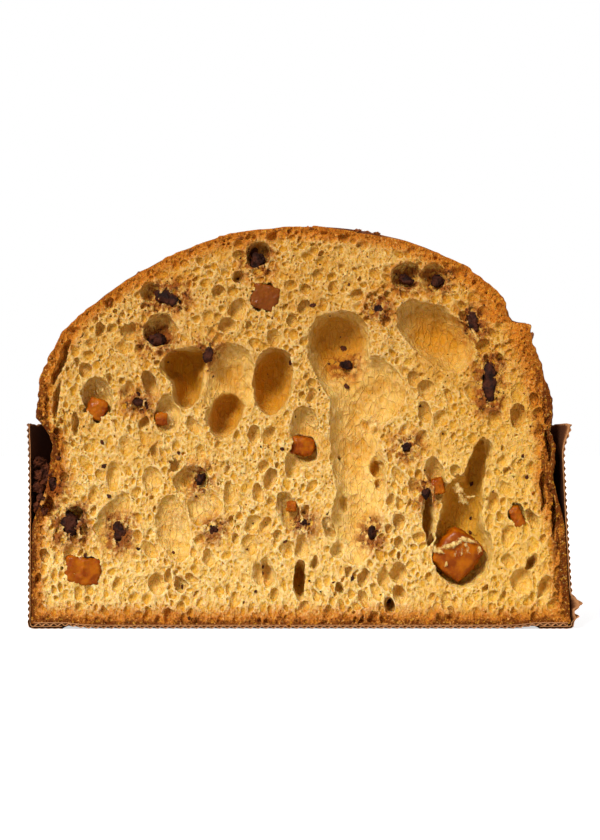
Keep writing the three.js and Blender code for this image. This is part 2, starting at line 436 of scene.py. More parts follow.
@dataclass(frozen=True)
class Outline:
    """The loaf's outer skin and the case around it."""

    cut: float
    foot_radius: float
    rim_height: float
    bottom: float
    top: float
    rim_radius: float = 100.3
    lean: float = -2.05
    wall: float = 1.4
    dome_start: float = 79.0
    dome_radius: float = 97.0
    waist: tuple[float, float] = (36.0, 58.0)
    waist_right: float = 3.2
    waist_left: float = 6.2
    shoulder: tuple[float, float] = (73.0, 80.0)
    apex_start: float = 104.0
    apex_shift: float = 6.2
    ear_height: float = 114.5
    ear_reach: float = 3.4
    ear_hollow: float = 2.2
    sag: float = 1.0
    flange_edge: float = 89.0
    sink_depth: float = 0.95

    SWELLS: ClassVar[tuple[tuple[float, float, float, float], ...]] = (
        (0.55, 5.0, 0.11, 0.4), (0.35, 11.0, -0.19, 1.3), (0.30, 3.0, 0.36, 2.2), (0.22, 23.0, 0.31, 0.0),
        (0.17, 9.0, 0.83, 0.9), (0.15, 31.0, -0.67, 4.1), (0.11, 17.0, 1.37, 2.7), (0.09, 53.0, 1.9, 1.1),
        (0.08, 41.0, -2.3, 5.0),
    )

    @classmethod
    def from_frame(cls) -> Outline:
        """Reads the sizes that the frame holds."""
        wall_low, wall_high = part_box("case_wall")
        loaf_low, loaf_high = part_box("loaf")
        return cls(cut=loaf_low.y / MM, foot_radius=(wall_high.x - wall_low.x) / 2 / MM,
                   rim_height=wall_high.z / MM, bottom=loaf_low.z / MM - cls.sag, top=loaf_high.z / MM)

    def case_radius(self, z: Array | float) -> Array | float:
        """Outside radius of the case at a height."""
        return mix(self.foot_radius, self.rim_radius, np.asarray(z) / self.rim_height)

    def lean_at(self, z: Array | float) -> Array | float:
        """How far the case's middle has shifted along X at a height."""
        return self.lean * np.asarray(z) / self.rim_height

    def middle(self, z: Array | float) -> Array | float:
        """X of the loaf's middle at a height."""
        rise = smoothstep(z, self.apex_start, self.top)
        return self.lean_at(np.minimum(z, self.apex_start)) + self.apex_shift * rise

    def dome(self, z: Array | float) -> Array | float:
        """Radius of the plain dome at a height."""
        climb = np.clip((np.asarray(z) - self.dome_start) / (self.top - self.dome_start), 0.0, 1.0)
        return self.dome_radius * np.sqrt(1.0 - climb * climb)

    def unevenness(self, z: Array | float, angle: Array | float) -> Array | float:
        """The swells, dents and torn ear of the baked skin, outwards, above the part that the case holds.

        Args:
            z: Height.
            angle: Direction, in radians.

        Returns:
            Millimetres outwards.
        """
        z, angle = np.asarray(z, dtype=np.float32), np.asarray(angle, dtype=np.float32)
        swell = sum(size * np.sin(round_ * angle + up * z + start) for size, round_, up, start in self.SWELLS)
        ear_line = self.ear_height + 2.0 * np.sin(4.0 * angle + 0.5) - 0.5
        lip = smoothstep(z, ear_line - 9.0, ear_line - 1.5)
        lip = lip * (1.0 - smoothstep(z, ear_line - 0.7, ear_line + 0.5))
        hollow = smoothstep(z, ear_line - 0.5, ear_line + 0.5)
        hollow = hollow * (1.0 - smoothstep(z, ear_line + 2.0, ear_line + 11.0))
        near = 1.0 - smoothstep(angle, 0.35, 1.25)
        ear = near * (self.ear_reach * lip - self.ear_hollow * hollow)
        return (swell + ear) * smoothstep(z, 42.0, 66.0)

    def radius(self, z: Array | float, angle: Array | float) -> Array | float:
        """The skin's radius at a height and in a direction.

        Args:
            z: Height.
            angle: Direction, in radians.

        Returns:
            The radius around the loaf's middle at that height.
        """
        waist = mix(self.waist_right, self.waist_left, (1.0 - np.cos(angle)) / 2.0)
        in_case = self.case_radius(z) - self.wall - waist * smoothstep(z, *self.waist)
        plain = mix(in_case, self.dome(z), smoothstep(z, *self.shoulder))
        fade = np.clip(plain / 30.0, 0.0, 1.0)
        return plain + self.unevenness(z, angle) * fade

    def sink(self, piece: bpy.types.Object) -> None:
        """Lets the foot of a piece sink to the table inside the case's flange.

        Args:
            piece: The object to change.
        """
        corners = Bench.corners(piece)
        inside = self.flange_edge - np.hypot(corners[:, 0], corners[:, 1] - self.cut)
        drop = self.sink_depth * smoothstep(inside, 0.0, 10.0)
        corners[:, 2] -= drop * (1.0 - smoothstep(corners[:, 2], 2.0, 16.0))
        Bench.move_corners(piece, corners)

    def depth(self, x: Array, y: Array, z: Array) -> Array:
        """How deep points lie below the skin; negative outside it.

        Args:
            x: The points' X.
            y: Their Y.
            z: Their Z.

        Returns:
            One depth per point.
        """
        across = x - self.middle(z)
        back = np.maximum(y - self.cut, 0.0)
        reach = np.sqrt(across * across + back * back)
        angle = np.arctan2(back, across)
        side = self.radius(z, angle) - reach
        climb = np.maximum(z - self.dome_start, 0.0) / (self.top - self.dome_start)
        bump = self.unevenness(z, angle) / self.dome_radius
        shell = np.sqrt((reach / self.dome_radius) ** 2 + climb * climb) - bump
        dome = (1.0 - shell) * (self.top - self.dome_start)
        return np.minimum(np.where(z > self.dome_start, dome, side), z - self.bottom)


@dataclass(frozen=True)
class Cavity:
    """An egg-shaped gas cavity in the cut face.

    x and z are its middle, back is how far that lies behind the cut, tilt turns its top towards +X in
    degrees, and melt is how softly it joins the hollows that were carved before it.
    """

    x: float
    z: float
    width: float
    height: float
    depth: float
    tilt: float = 0.0
    back: float = 0.0
    melt: float = 0.0


CAVITIES = (
    Cavity(24.5, 89.0, 29.0, 27.0, 7.5),
    Cavity(14.3, 108.5, 24.5, 21.5, 16.0, melt=1.5),
    Cavity(13.5, 99.0, 18.0, 17.0, 12.0, tilt=-14.0, melt=5.0),
    Cavity(20.0, 70.0, 19.0, 38.0, 9.0, melt=5.0),
    Cavity(21.0, 44.0, 19.0, 40.0, 7.0, tilt=4.0, melt=5.0),
    Cavity(50.0, 111.5, 31.0, 20.0, 12.0, tilt=38.0),
    Cavity(57.5, 106.0, 17.0, 19.0, 8.5, melt=3.0),
    Cavity(-27.0, 93.0, 21.5, 27.0, 10.0, tilt=8.0),
    Cavity(-28.5, 80.5, 13.0, 18.5, 19.0, tilt=12.0, melt=1.0),
    Cavity(-45.5, 99.0, 14.5, 12.5, 18.0, tilt=-10.0, back=3.0),
    Cavity(-39.6, 100.5, 9.0, 11.5, 14.0, tilt=10.0, back=2.0, melt=3.0),
    Cavity(-43.0, 91.5, 10.5, 19.0, 16.0, tilt=0.0, back=3.0, melt=3.5),
    Cavity(-10.5, 93.0, 16.0, 27.0, 15.0, tilt=6.0, back=3.0),
    Cavity(60.5, 30.0, 21.5, 30.0, 15.0, tilt=-6.0),
    Cavity(60.5, 43.0, 16.5, 32.0, 14.0, tilt=10.0, back=4.0, melt=3.0),
    Cavity(65.3, 57.0, 8.0, 31.0, 15.0, tilt=12.0, back=2.0, melt=2.0),
    Cavity(-76.0, 87.0, 12.0, 15.0, 9.0, tilt=-10.0),
    Cavity(-50.0, 80.3, 10.5, 15.5, 6.5),
    Cavity(1.5, 76.0, 11.5, 15.0, 7.0),
    Cavity(1.5, 67.0, 9.5, 13.0, 9.0, melt=1.5),
    Cavity(-2.5, 62.0, 7.0, 10.0, 6.5, melt=1.0),
    Cavity(-41.0, 55.5, 12.5, 11.5, 5.5),
    Cavity(-47.6, 38.0, 13.0, 25.0, 4.6, tilt=-14.0),
    Cavity(-36.5, 46.1, 12.0, 14.0, 4.2, tilt=14.0),
    Cavity(-70.8, 41.5, 11.0, 21.0, 4.6, tilt=24.0),
    Cavity(-56.0, 55.5, 6.5, 9.5, 4.5),
    Cavity(-71.0, 57.5, 6.0, 11.0, 4.0, tilt=10.0),
    Cavity(-5.0, 44.5, 8.5, 14.5, 5.5, tilt=-8.0),
    Cavity(-13.8, 38.5, 4.8, 6.5, 5.0),
    Cavity(-18.5, 39.0, 5.5, 8.0, 3.5),
    Cavity(-12.6, 20.8, 5.2, 12.0, 9.0),
    Cavity(-0.7, 18.6, 5.2, 15.5, 15.0, tilt=-4.0),
    Cavity(28.9, 59.5, 5.4, 8.5, 12.0),
    Cavity(29.3, 54.0, 4.6, 7.0, 8.0, tilt=20.0, melt=0.8),
    Cavity(25.5, 75.0, 9.0, 11.0, 8.5, melt=1.0),
    Cavity(27.5, 61.5, 5.5, 12.0, 7.0, tilt=6.0, melt=0.6),
    Cavity(16.0, 46.0, 5.0, 8.0, 9.0, melt=0.6),
    Cavity(10.5, 38.0, 4.5, 9.0, 7.0, tilt=-8.0, melt=0.6),
    Cavity(14.8, 63.8, 2.6, 4.0, 9.0, melt=0.3),
    Cavity(47.6, 41.3, 4.4, 22.0, 13.0, tilt=-2.0),
    Cavity(51.0, 58.5, 7.0, 13.0, 7.0, tilt=-14.0),
    Cavity(52.8, 51.0, 6.5, 9.0, 6.0, melt=1.0),
    Cavity(70.0, 66.5, 4.0, 8.5, 9.0, tilt=6.0),
    Cavity(83.2, 17.8, 8.0, 9.0, 5.5, tilt=30.0),
    Cavity(92.0, 15.5, 4.0, 9.0, 5.0, tilt=28.0),
    Cavity(86.8, 24.6, 4.4, 8.0, 8.0, tilt=24.0),
    Cavity(-16.0, 140.2, 9.0, 9.5, 7.5),
    Cavity(-53.0, 112.3, 12.4, 12.4, 9.0),
    Cavity(-56.5, 126.0, 8.0, 8.5, 6.0),
    Cavity(39.8, 132.6, 11.5, 11.0, 8.0, tilt=-10.0),
    Cavity(49.6, 132.0, 10.5, 10.5, 7.5, melt=0.8),
    Cavity(-23.4, 132.2, 5.5, 4.6, 6.0),
    Cavity(-31.0, 127.0, 5.4, 5.6, 5.0),
    Cavity(-75.6, 112.0, 4.0, 5.2, 5.0),
    Cavity(47.0, 89.5, 6.2, 7.8, 4.5),
    Cavity(31.5, 19.1, 4.6, 9.2, 5.0),
    Cavity(37.0, 21.4, 6.8, 8.2, 6.0),
    Cavity(37.5, 13.9, 5.4, 6.8, 6.0),
    Cavity(33.2, 9.8, 4.4, 4.6, 12.0),
    Cavity(13.7, 30.4, 5.6, 7.6, 5.5, tilt=20.0),
    Cavity(4.6, 24.8, 3.2, 5.4, 5.0),
    Cavity(15.0, 15.5, 3.4, 3.4, 7.0),
    Cavity(-15.8, 20.6, 4.4, 9.6, 6.0),
    Cavity(-57.4, 55.9, 4.8, 9.6, 4.0),
    Cavity(23.0, 54.4, 4.4, 4.6, 5.0),
    Cavity(86.8, 41.5, 4.6, 8.0, 6.0, tilt=-30.0),
    Cavity(81.0, 43.0, 5.2, 6.4, 5.5),
    Cavity(-90.0, 99.8, 2.6, 19.0, 7.0, tilt=24.0),
    Cavity(-91.8, 86.0, 2.4, 15.0, 6.0, tilt=8.0),
    Cavity(-84.3, 77.0, 2.8, 8.0, 6.0),
    Cavity(92.4, 68.0, 1.7, 13.0, 6.0, tilt=-4.0),
    Cavity(91.0, 52.0, 1.6, 16.0, 6.0, tilt=-2.0),
    Cavity(95.0, 42.0, 1.5, 18.0, 5.0, tilt=-2.0),
    Cavity(-85.0, 43.0, 8.0, 6.0, 7.0),
    Cavity(-95.0, 46.0, 6.0, 9.0, 7.0, tilt=-10.0),
)


@dataclass(frozen=True)
class PoreClass:
    """One size of small gas bubble: its radii, how many places are tried and how far bubbles keep apart."""

    smallest: float
    largest: float
    tries: int
    spacing: float


@dataclass
class CrumbField:
    """Open crumb as a field on a grid: air bubbles carved out of the loaf behind the cut.

    The grid's points are step apart and reach from front before the cut to depth behind it. A point that
    no bubble is near counts as far from air, and reach is how far around a bubble that is worked out. The
    small cells go foam_depth deep, and strand is how much longer the torn ridges are than wide.
    """

    outline: Outline
    step: float = 0.35
    front: float = 1.6
    depth: float = 20.0
    far: float = 9.0
    reach: float = 3.0
    seed: int = 20
    foam_depth: float = 3.4
    foam_stretch: float = 1.55
    strand: float = 1.9

    def __post_init__(self) -> None:
        """Lays the grid over the slice of the loaf behind the cut."""
        outline = self.outline
        self.random = np.random.default_rng(self.seed)
        half = outline.foot_radius + 1.0
        self.origin = np.array([-half, outline.cut - self.front, outline.bottom - 1.0])
        top = np.array([half, outline.cut + self.depth + 1.0, outline.top + 1.5])
        self.shape = tuple(int(n) for n in np.ceil((top - self.origin) / self.step))
        axes = [start + self.step * np.arange(count, dtype=np.float32)
                for start, count in zip(self.origin, self.shape)]
        self.axes = [axis.astype(np.float32) for axis in axes]
        grid = np.meshgrid(*self.axes, indexing="ij", sparse=True)
        self.skin = outline.depth(*grid).astype(np.float32)
        self.air = np.full(self.shape, self.far, dtype=np.float32)
        self.warped = [
            (np.broadcast_to(axis, self.shape) + self._warp()).astype(np.float32) for axis in grid
        ]

    def _warp(self) -> Array:
        """How far the grid is pushed along one axis, so that no bubble is a true egg."""
        return 0.95 * self.noise(8.5) + 0.6 * self.noise(3.4) + 0.46 * self.noise(1.6)

    def noise(self, size: float, tall: float = 1.0) -> Array:
        """Smooth random values from -1 to 1 over the whole grid.

        Args:
            size: Distance between the random points, in millimetres.
            tall: How much farther apart they are along Z.

        Returns:
            An array of the grid's shape.
        """
        weights = []
        for count, gap in zip(self.shape, (size, size, size * tall)):
            place = np.arange(count) * self.step / gap + self.random.uniform(0.0, 1.0)
            low = np.floor(place).astype(int)
            part = place - low
            part = part * part * (3.0 - 2.0 * part)
            row = np.zeros((count, low[-1] + 2), dtype=np.float32)
            row[np.arange(count), low] = 1.0 - part
            row[np.arange(count), low + 1] = part
            weights.append(row)
        points = self.random.uniform(-1.0, 1.0, [w.shape[1] for w in weights]).astype(np.float32)
        for weight in weights:
            points = np.tensordot(points, weight, axes=(0, 1))
        return points

    def carve(self, centre: Sequence[float], radii: Sequence[float], tilt: float, melt: float = 0.0) -> None:
        """Hollows out one bubble.

        Args:
            centre: Its middle.
            radii: Its radii along X, Y and Z before it is tilted.
            tilt: Its turn in the cut plane, top towards +X, in degrees.
            melt: How softly it joins the air that is already there.
        """
        span = max(radii) + min(self.reach, 0.8 + 1.6 * max(radii))
        low = [max(0, int((c - span - o) / self.step)) for c, o in zip(centre, self.origin)]
        high = [min(n, int((c + span - o) / self.step) + 2)
                for c, o, n in zip(centre, self.origin, self.shape)]
        if any(a >= b for a, b in zip(low, high)):
            return
        window = tuple(slice(a, b) for a, b in zip(low, high))
        dx, dy, dz = (self.warped[i][window] - centre[i] for i in range(3))
        cos, sin = math.cos(math.radians(tilt)), math.sin(math.radians(tilt))
        across, up = dx * cos - dz * sin, dx * sin + dz * cos
        rx, ry, rz = radii
        scaled = np.sqrt((across / rx) ** 2 + (dy / ry) ** 2 + (up / rz) ** 2) + 1e-4
        slope = np.sqrt((across / rx**2) ** 2 + (dy / ry**2) ** 2 + (up / rz**2) ** 2) + 1e-4
        distance = scaled * (scaled - 1.0) / slope
        air = self.air[window]
        if melt:
            part = np.clip(0.5 + 0.5 * (air - distance) / melt, 0.0, 1.0)
            joined = mix(air, distance, part) - melt * part * (1.0 - part)
            self.air[window] = np.where(np.abs(air - distance) < melt, joined, np.minimum(air, distance))
        else:
            self.air[window] = np.minimum(air, distance)

    def carve_cavities(self, cavities: Iterable[Cavity]) -> None:
        """Hollows out the large cavities."""
        for hollow in cavities:
            centre = (hollow.x, self.outline.cut + hollow.back, hollow.z)
            radii = (hollow.width / 2.0, hollow.depth, hollow.height / 2.0)
            self.carve(centre, radii, hollow.tilt, hollow.melt)

    def carve_pocket(self, node: str, clear: float) -> None:
        """Hollows out the room that an inclusion takes, with some clearance.

        Args:
            node: The inclusion's CAD node.
            clear: How far the pocket stands off its box.
        """
        low, high = (np.array(corner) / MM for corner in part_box(node))
        self.carve((low + high) / 2.0, (high - low) / 2.0 * 1.08 + clear, 0.0)

    def bubble_shape(self, radius: float, x: float, z: float, skin: float) -> tuple[list[float], float]:
        """The radii and tilt that a bubble takes from the dough's flow at its place.

        Args:
            radius: The bubble's size.
            x: Where it lies across.
            z: How high it lies.
            skin: How deep below the skin.

        Returns:
            Its radii along X, Y and Z, and its tilt in degrees.
        """
        outline = self.outline
        stretch = self.random.uniform(1.0, 1.45)
        if z < outline.dome_start + 15.0:
            aim = self.random.normal(0.0, 16.0)
            stretch *= 1.28
        elif skin < 22.0:
            aim = math.degrees(math.atan2(x - outline.middle(z), z - outline.dome_start)) + 90.0
            aim += self.random.normal(0.0, 14.0)
        else:
            aim = self.random.uniform(-60.0, 60.0)
        wide = radius / math.sqrt(stretch)
        return [wide, radius * self.random.uniform(0.8, 1.3), radius * math.sqrt(stretch)], aim

    def fill_with_pores(self, classes: Iterable[PoreClass], wall: float) -> int:
        """Packs bubbles between the cavities, largest first, cut anywhere from their front to their back.

        Args:
            classes: The sizes.
            wall: The least wall between two bubbles.

        Returns:
            How many bubbles found room.
        """
        made = 0
        outline = self.outline
        for size in classes:
            for u, v, w, spread in self.random.uniform(size=(size.tries, 4)):
                radius = size.smallest + (size.largest - size.smallest) * spread**1.6
                back = self.front + radius * (1.45 * v - 0.85) + 0.3
                index = (int(u * self.shape[0]), max(0, int(back / self.step)), int(w * self.shape[2]))
                skin = self.skin[index]
                if skin < 1.0 + radius * 0.9 or self.air[index] < radius * size.spacing + wall:
                    continue
                x, y, z = (axis[i] for axis, i in zip(self.axes, index))
                crowd = 0.55 if z > outline.top - 30.0 or skin < 9.0 else 1.0
                if radius > 4.2 * crowd:
                    continue
                radii, tilt = self.bubble_shape(radius, x, z, skin)
                self.carve((x, y, z), radii, tilt)
                made += 1
        return made

    def foam(self, size: float, stretch: float) -> Array:
        """How far points in the front layers lie inside the small cells of the crumb, 0 on their walls.

        Args:
            size: The cells' width in millimetres.
            stretch: Their height over their width.

        Returns:
            An array of the front layers' shape.
        """
        layers = int((self.front + self.foam_depth) / self.step)
        scale = (size, size, size * stretch)
        place = [(self.warped[i][:, :layers, :] - self.origin[i] + 2.5 * size) / scale[i] for i in range(3)]
        place = [part.astype(np.float32) for part in place]
        low = [np.floor(part).astype(np.int32) for part in place]
        jitter = self.random.uniform(0.0, 1.0, [int(part.max()) + 3 for part in low] + [3]).astype(np.float32)
        nearest = np.full(place[0].shape, 9.0, dtype=np.float32)
        second = nearest.copy()
        for shift in np.ndindex(3, 3, 3):
            cell = [part + step - 1 for part, step in zip(low, shift)]
            point = jitter[cell[0], cell[1], cell[2]]
            gap = sum((cell[i] + point[..., i] - place[i]) ** 2 for i in range(3))
            gap = np.sqrt(gap).astype(np.float32)
            second = np.minimum(second, np.maximum(nearest, gap))
            nearest = np.minimum(nearest, gap)
        return (second - nearest) * size * 0.5

    def carve_foam(self, size: float, wall: float, film: float) -> None:
        """Opens the small cells of the cut face.

        Args:
            size: The cells' width.
            wall: The walls' thickness between cells.
            film: The skin that is left around larger bubbles and under the crust.
        """
        cells = self.foam(size, self.foam_stretch)
        layers = cells.shape[1]
        front = self.air[:, :layers, :]
        behind = self.axes[1][None, :layers, None] - self.outline.cut
        uneven = 0.35 * self.noise(3.0)[:, :layers, :]
        air = wall * 0.5 - cells + 0.15 * self.noise(1.2)[:, :layers, :]
        air = air + 0.16 * np.maximum(behind - 0.9, 0.0)
        air = air + 0.06 * (1.0 - smoothstep(self.axes[2], 30.0, 75.0))[None, None, :]
        air = np.maximum(air, film - front)
        air = np.maximum(air, behind - 1.8 + 1.2 * uneven)
        air = np.maximum(air, 1.1 + uneven - self.skin[:, :layers, :])
        self.air[:, :layers, :] = np.minimum(front, air)

    def solid(self) -> Array:
        """The field of the crumb, negative inside it.

        Returns:
            An array of the grid's shape.
        """
        sheet = 0.1 + 0.45 * self.noise(7.0)[:, :1, :] + 0.14 * self.noise(1.0)[:, :1, :]
        for size, height in ((2.6, 1.0), (1.4, 0.6)):
            ridge = np.abs(self.noise(size, self.strand)[:, :1, :])
            sheet = sheet + height * np.minimum(ridge, 0.6)
        behind = self.axes[1][None, :, None] - self.outline.cut
        skin = self.skin + 0.22 * self.noise(2.0) * smoothstep(self.axes[2], 40.0, 60.0)[None, None, :]
        inside_crust = 0.55 * smoothstep(behind, 1.2, 2.4)
        body = np.maximum(sheet - behind, inside_crust - skin)
        body = np.maximum(body, behind - self.depth)
        body = np.maximum(body, -np.maximum(self.air, behind - self.depth + 1.8))
        return self._softened(np.clip(body, -2.0, 2.0))

    @staticmethod
    def _softened(values: Array, share: float = 0.08) -> Array:
        """Blends each value with its neighbours along each axis, so that no detail is one step wide.

        Args:
            values: The field.
            share: The weight of one neighbour.

        Returns:
            The softened field.
        """
        for axis in range(3):
            padded = np.concatenate([np.take(values, [0], axis), values, np.take(values, [-1], axis)], axis)
            before = np.take(padded, range(values.shape[axis]), axis)
            after = np.take(padded, range(2, values.shape[axis] + 2), axis)
            values = values * (1.0 - 2.0 * share) + (before + after) * share
        return values

    def mesh(self, name: str) -> bpy.types.Object:
        """Turns the field into a mesh of quads, in metres.

        Args:
            name: The new piece's name.

        Returns:
            The new piece.
        """
        grid = openvdb.FloatGrid()
        grid.copyFromArray(self.solid().astype(np.float32))
        grid.transform = openvdb.createLinearTransform(voxelSize=self.step)
        points, quads = grid.convertToQuads(isovalue=0.0)
        data = bpy.data.meshes.new(name)
        data.from_pydata(((points + self.origin) * MM).tolist(), [], quads.tolist())
        piece = bpy.data.objects.new(name, data)
        bpy.context.scene.collection.objects.link(piece)
        return piece


@dataclass(frozen=True)
class CrumbFinish:
    """Golden crumb: pale torn rims, painted shade that turns pits and cavities deeper gold and amber, a
    painted sheen on shallow cavity walls, and a browned band below the skin.
    """

    cut: float
    bottom: float
    rim: float
    top: float
    pale: Colour = (0.82, 0.61, 0.275)
    painted_sheen: Colour = (0.92, 0.64, 0.20)
    # Painted sheen on the walls of shallow cavities.
    ochre: Colour = (0.60, 0.27, 0.020)
    gold: Colour = (0.66, 0.34, 0.028)
    # Painted shade in the cavities and the pinholes.
    amber_shade: Colour = (0.62, 0.25, 0.001)
    film: Colour = (0.84, 0.56, 0.17)
    toast: Colour = (0.50, 0.145, 0.009)
    crust: Colour = (0.11, 0.022, 0.002)
    rust: Colour = (0.21, 0.045, 0.006)
    stain: Colour = (0.035, 0.008, 0.004)
    baked: Colour = (0.79, 0.69, 0.56)

    def build(self) -> bpy.types.Material:
        """Makes the material.

        Returns:
            The material.
        """
        shader = Shader("crumb")
        where = shader.place()
        across, behind, height = shader.axis(0), shader.axis(1) - self.cut, shader.axis(2)
        patch = shader.noise(where, 5.0, 3.0)
        grain = shader.noise(where, 0.9, 2.0, 0.6)
        pores = self._pores(shader, where, behind)
        fibres = shader.noise(shader.place(stretch=(1.0, 1.0, 0.14)), 0.8, 3.0, 0.6)

        # Painted shade: pits, as the hollow mark finds them, go deeper gold than the pale rims.
        colour = shader.blend(shader.attribute("hollow"), self.pale, self.gold)
        # Painted shade: deeper amber the farther the surface lies behind the cut, inside the cavities.
        colour = shader.blend(behind.rise(2.5, 13.0) * 0.9, colour, self.amber_shade)
        deep = behind.rise(0.9, 3.0)
        net = shader.cells(shader.place(stretch=(1.0, 1.0, 0.5)), 2.3, "DISTANCE_TO_EDGE").rise(0.11, 0.0)
        thin = fibres.rise(0.46, 0.66) * patch.rise(0.3, 0.62) + net * 0.5
        colour = shader.blend(deep * thin * (0.6 - 0.4 * behind.rise(6.0, 13.0)), colour, self.film)
        # Painted sheen: a pale yellow highlight in patches on the walls of shallow cavities.
        slope = behind.rise(1.5, 4.0) * behind.rise(11.0, 6.0) * patch.rise(0.3, 0.6)
        colour = shader.blend(slope * 0.6, colour, self.painted_sheen)
        upper = height.rise(25.0, 80.0)
        # Painted shade in the pinholes, stronger in the upper half.
        colour = shader.blend((1.0 - pores) * (0.34 + 0.34 * upper), colour, self.amber_shade)
        colour = shader.blend(across.rise(28.0, 78.0) * 0.42, colour, self.gold)
        colour = shader.blend(shader.noise(where, 22.0).rise(0.4, 0.7) * 0.2, colour, self.film)
        colour = shader.blend(patch.rise(0.45, 0.72) * 0.4, colour, self.gold)
        drift = shader.noise(where, 11.0, 3.0, 0.6).rise(0.5, 0.68) * (0.3 + 0.25 * upper)
        colour = shader.blend(drift, colour, self.ochre)
        climb = height.rise(self.bottom + 15.0, self.top - 15.0)
        colour = shader.blend(climb, colour, self.baked, "MULTIPLY")

        skin = shader.attribute("skin_mm") + (patch - 0.5) * 4.6 + (grain - 0.5) * 4.4
        colour = shader.blend(skin.rise(6.4, 2.0) * 0.9, colour, self.toast)
        rind = shader.blend(height.rise(self.rim, self.rim + 40.0) * 0.62, self.crust, self.toast)
        colour = shader.blend(skin.rise(2.6, 0.4) * 0.92, colour, rind)
        cracks = shader.noise(shader.place(stretch=(1.0, 1.0, 0.16)), 1.9, 3.0, 0.6).rise(0.49, 0.57)
        beside = height.rise(self.rim + 32.0, self.rim + 4.0) * height.rise(5.0, 12.0)
        beside = beside * shader.attribute("skin_mm").rise(4.6, 2.2)
        colour = shader.blend(cracks * beside * 0.92, colour, self.crust)
        colour = shader.blend(grain.rise(0.6, 0.72) * skin.rise(5.5, 2.5) * 0.42, colour, self.film)
        crumbs = shader.noise(where, 1.5, 3.0, 0.7)
        colour = shader.blend(crumbs.rise(0.56, 0.66) * skin.rise(5.0, 1.5) * 0.7, colour, self.crust)
        colour = shader.blend(crumbs.rise(0.43, 0.36) * skin.rise(5.0, 1.5) * 0.6, colour, self.ochre)
        colour = self._stained(shader, where, patch, colour)

        relief = pores * 0.5 + grain * 0.6 + fibres * (0.3 + 0.4 * deep) + net * deep * 0.4
        return shader.dress(colour, 0.75 - 0.15 * behind.rise(2.0, 8.0), relief, 0.8,
                            Subsurface_Weight=0.4, Subsurface_Radius=(1.0, 0.5, 0.12),
                            Subsurface_Scale=1.0 * MM, Specular_IOR_Level=0.05)

    def _pores(self, shader: Shader, where: Wire, behind: Wire) -> Wire:
        """The pinholes that are too small to model: 0 in a hole, 1 between them.

        Args:
            shader: The crumb's shader.
            where: Object coordinates.
            behind: Millimetres behind the cut.

        Returns:
            The pattern.
        """
        upright = shader.place(stretch=(1.0, 1.0, 0.62))
        small = shader.cells(upright, 1.15).rise(0.16, 0.5)
        smaller = shader.cells(where, 0.62).rise(0.12, 0.48)
        open_ = small * (0.5 + 0.5 * smaller)
        return 1.0 - (1.0 - open_) * (0.3 + 0.7 * behind.rise(4.5, 1.2))

    def _stained(self, shader: Shader, where: Wire, patch: Wire, colour: Wire) -> Wire:
        """Adds rust-brown smears and flecks around the chocolate, and a few stray specks.

        Args:
            shader: The crumb's shader.
            where: Object coordinates.
            patch: Noise that frays the stains.
            colour: The clean crumb.

        Returns:
            The stained colour.
        """
        near = shader.attribute("stain") + (patch - 0.5) * 0.8
        smear = shader.noise(where, 2.6, 3.0, 0.6).rise(0.36, 0.6)
        flecks = shader.noise(where, 1.7, 3.0, 0.6).rise(0.54, 0.64)
        colour = shader.blend(near.rise(0.0, 0.5) * smear * 0.5, colour, self.toast)
        colour = shader.blend(near.rise(0.3, 0.85) * smear * 0.85, colour, self.rust)
        colour = shader.blend(near.rise(0.35, 0.85) * flecks * 0.85, colour, self.stain)
        strays = shader.noise(where, 0.55, 2.0, 0.6).rise(0.69, 0.74)
        strays = strays * shader.noise(where, 11.0).rise(0.47, 0.62)
        return shader.blend(strays * 0.85, colour, self.rust)


@dataclass(frozen=True)
class CrustFinish:
    """Baked skin: glossy brown with darker bakes, pale blisters and fine wrinkles."""

    rim: float
    dark: Colour = (0.10, 0.022, 0.003)
    brown: Colour = (0.36, 0.105, 0.011)
    tan: Colour = (0.58, 0.23, 0.03)
    pale: Colour = (0.60, 0.26, 0.04)

    def build(self) -> bpy.types.Material:
        """Makes the material.

        Returns:
            The material.
        """
        shader = Shader("crust")
        where = shader.place()
        height = shader.axis(2)
        bake = shader.noise(where, 34.0, 3.0) * 0.6 + shader.noise(where, 7.0, 4.0, 0.6) * 0.4
        bake = bake + height.rise(self.rim - 6.0, self.rim + 50.0) * 0.22 - 0.11
        colour = shader.ramp(bake, ((0.30, self.tan), (0.46, self.brown), (0.66, self.dark)))
        colour = shader.blend(height.rise(self.rim + 9.0, self.rim - 6.0) * 0.6, colour, self.pale)
        wrinkle = shader.cells(shader.place(stretch=(1.0, 1.0, 1.6)), 2.6, "DISTANCE_TO_EDGE")
        fine = shader.noise(where, 1.0, 4.0, 0.65)
        lines = wrinkle.rise(0.0, 0.12)
        colour = shader.blend((1.0 - lines) * 0.35, colour, self.dark)
        blister = shader.cells(where, 5.5).rise(0.2, 0.1) * shader.noise(where, 12.0).rise(0.5, 0.62)
        colour = shader.blend(blister * 0.3, colour, self.tan)
        colour = shader.blend(fine.rise(0.5, 0.8) * 0.3, colour, self.tan)
        relief = lines * 0.25 + fine * 0.45 + blister * 0.3
        roughness = 0.46 + 0.22 * fine
        return shader.dress(colour, roughness, relief, 0.45, Specular_IOR_Level=0.25)


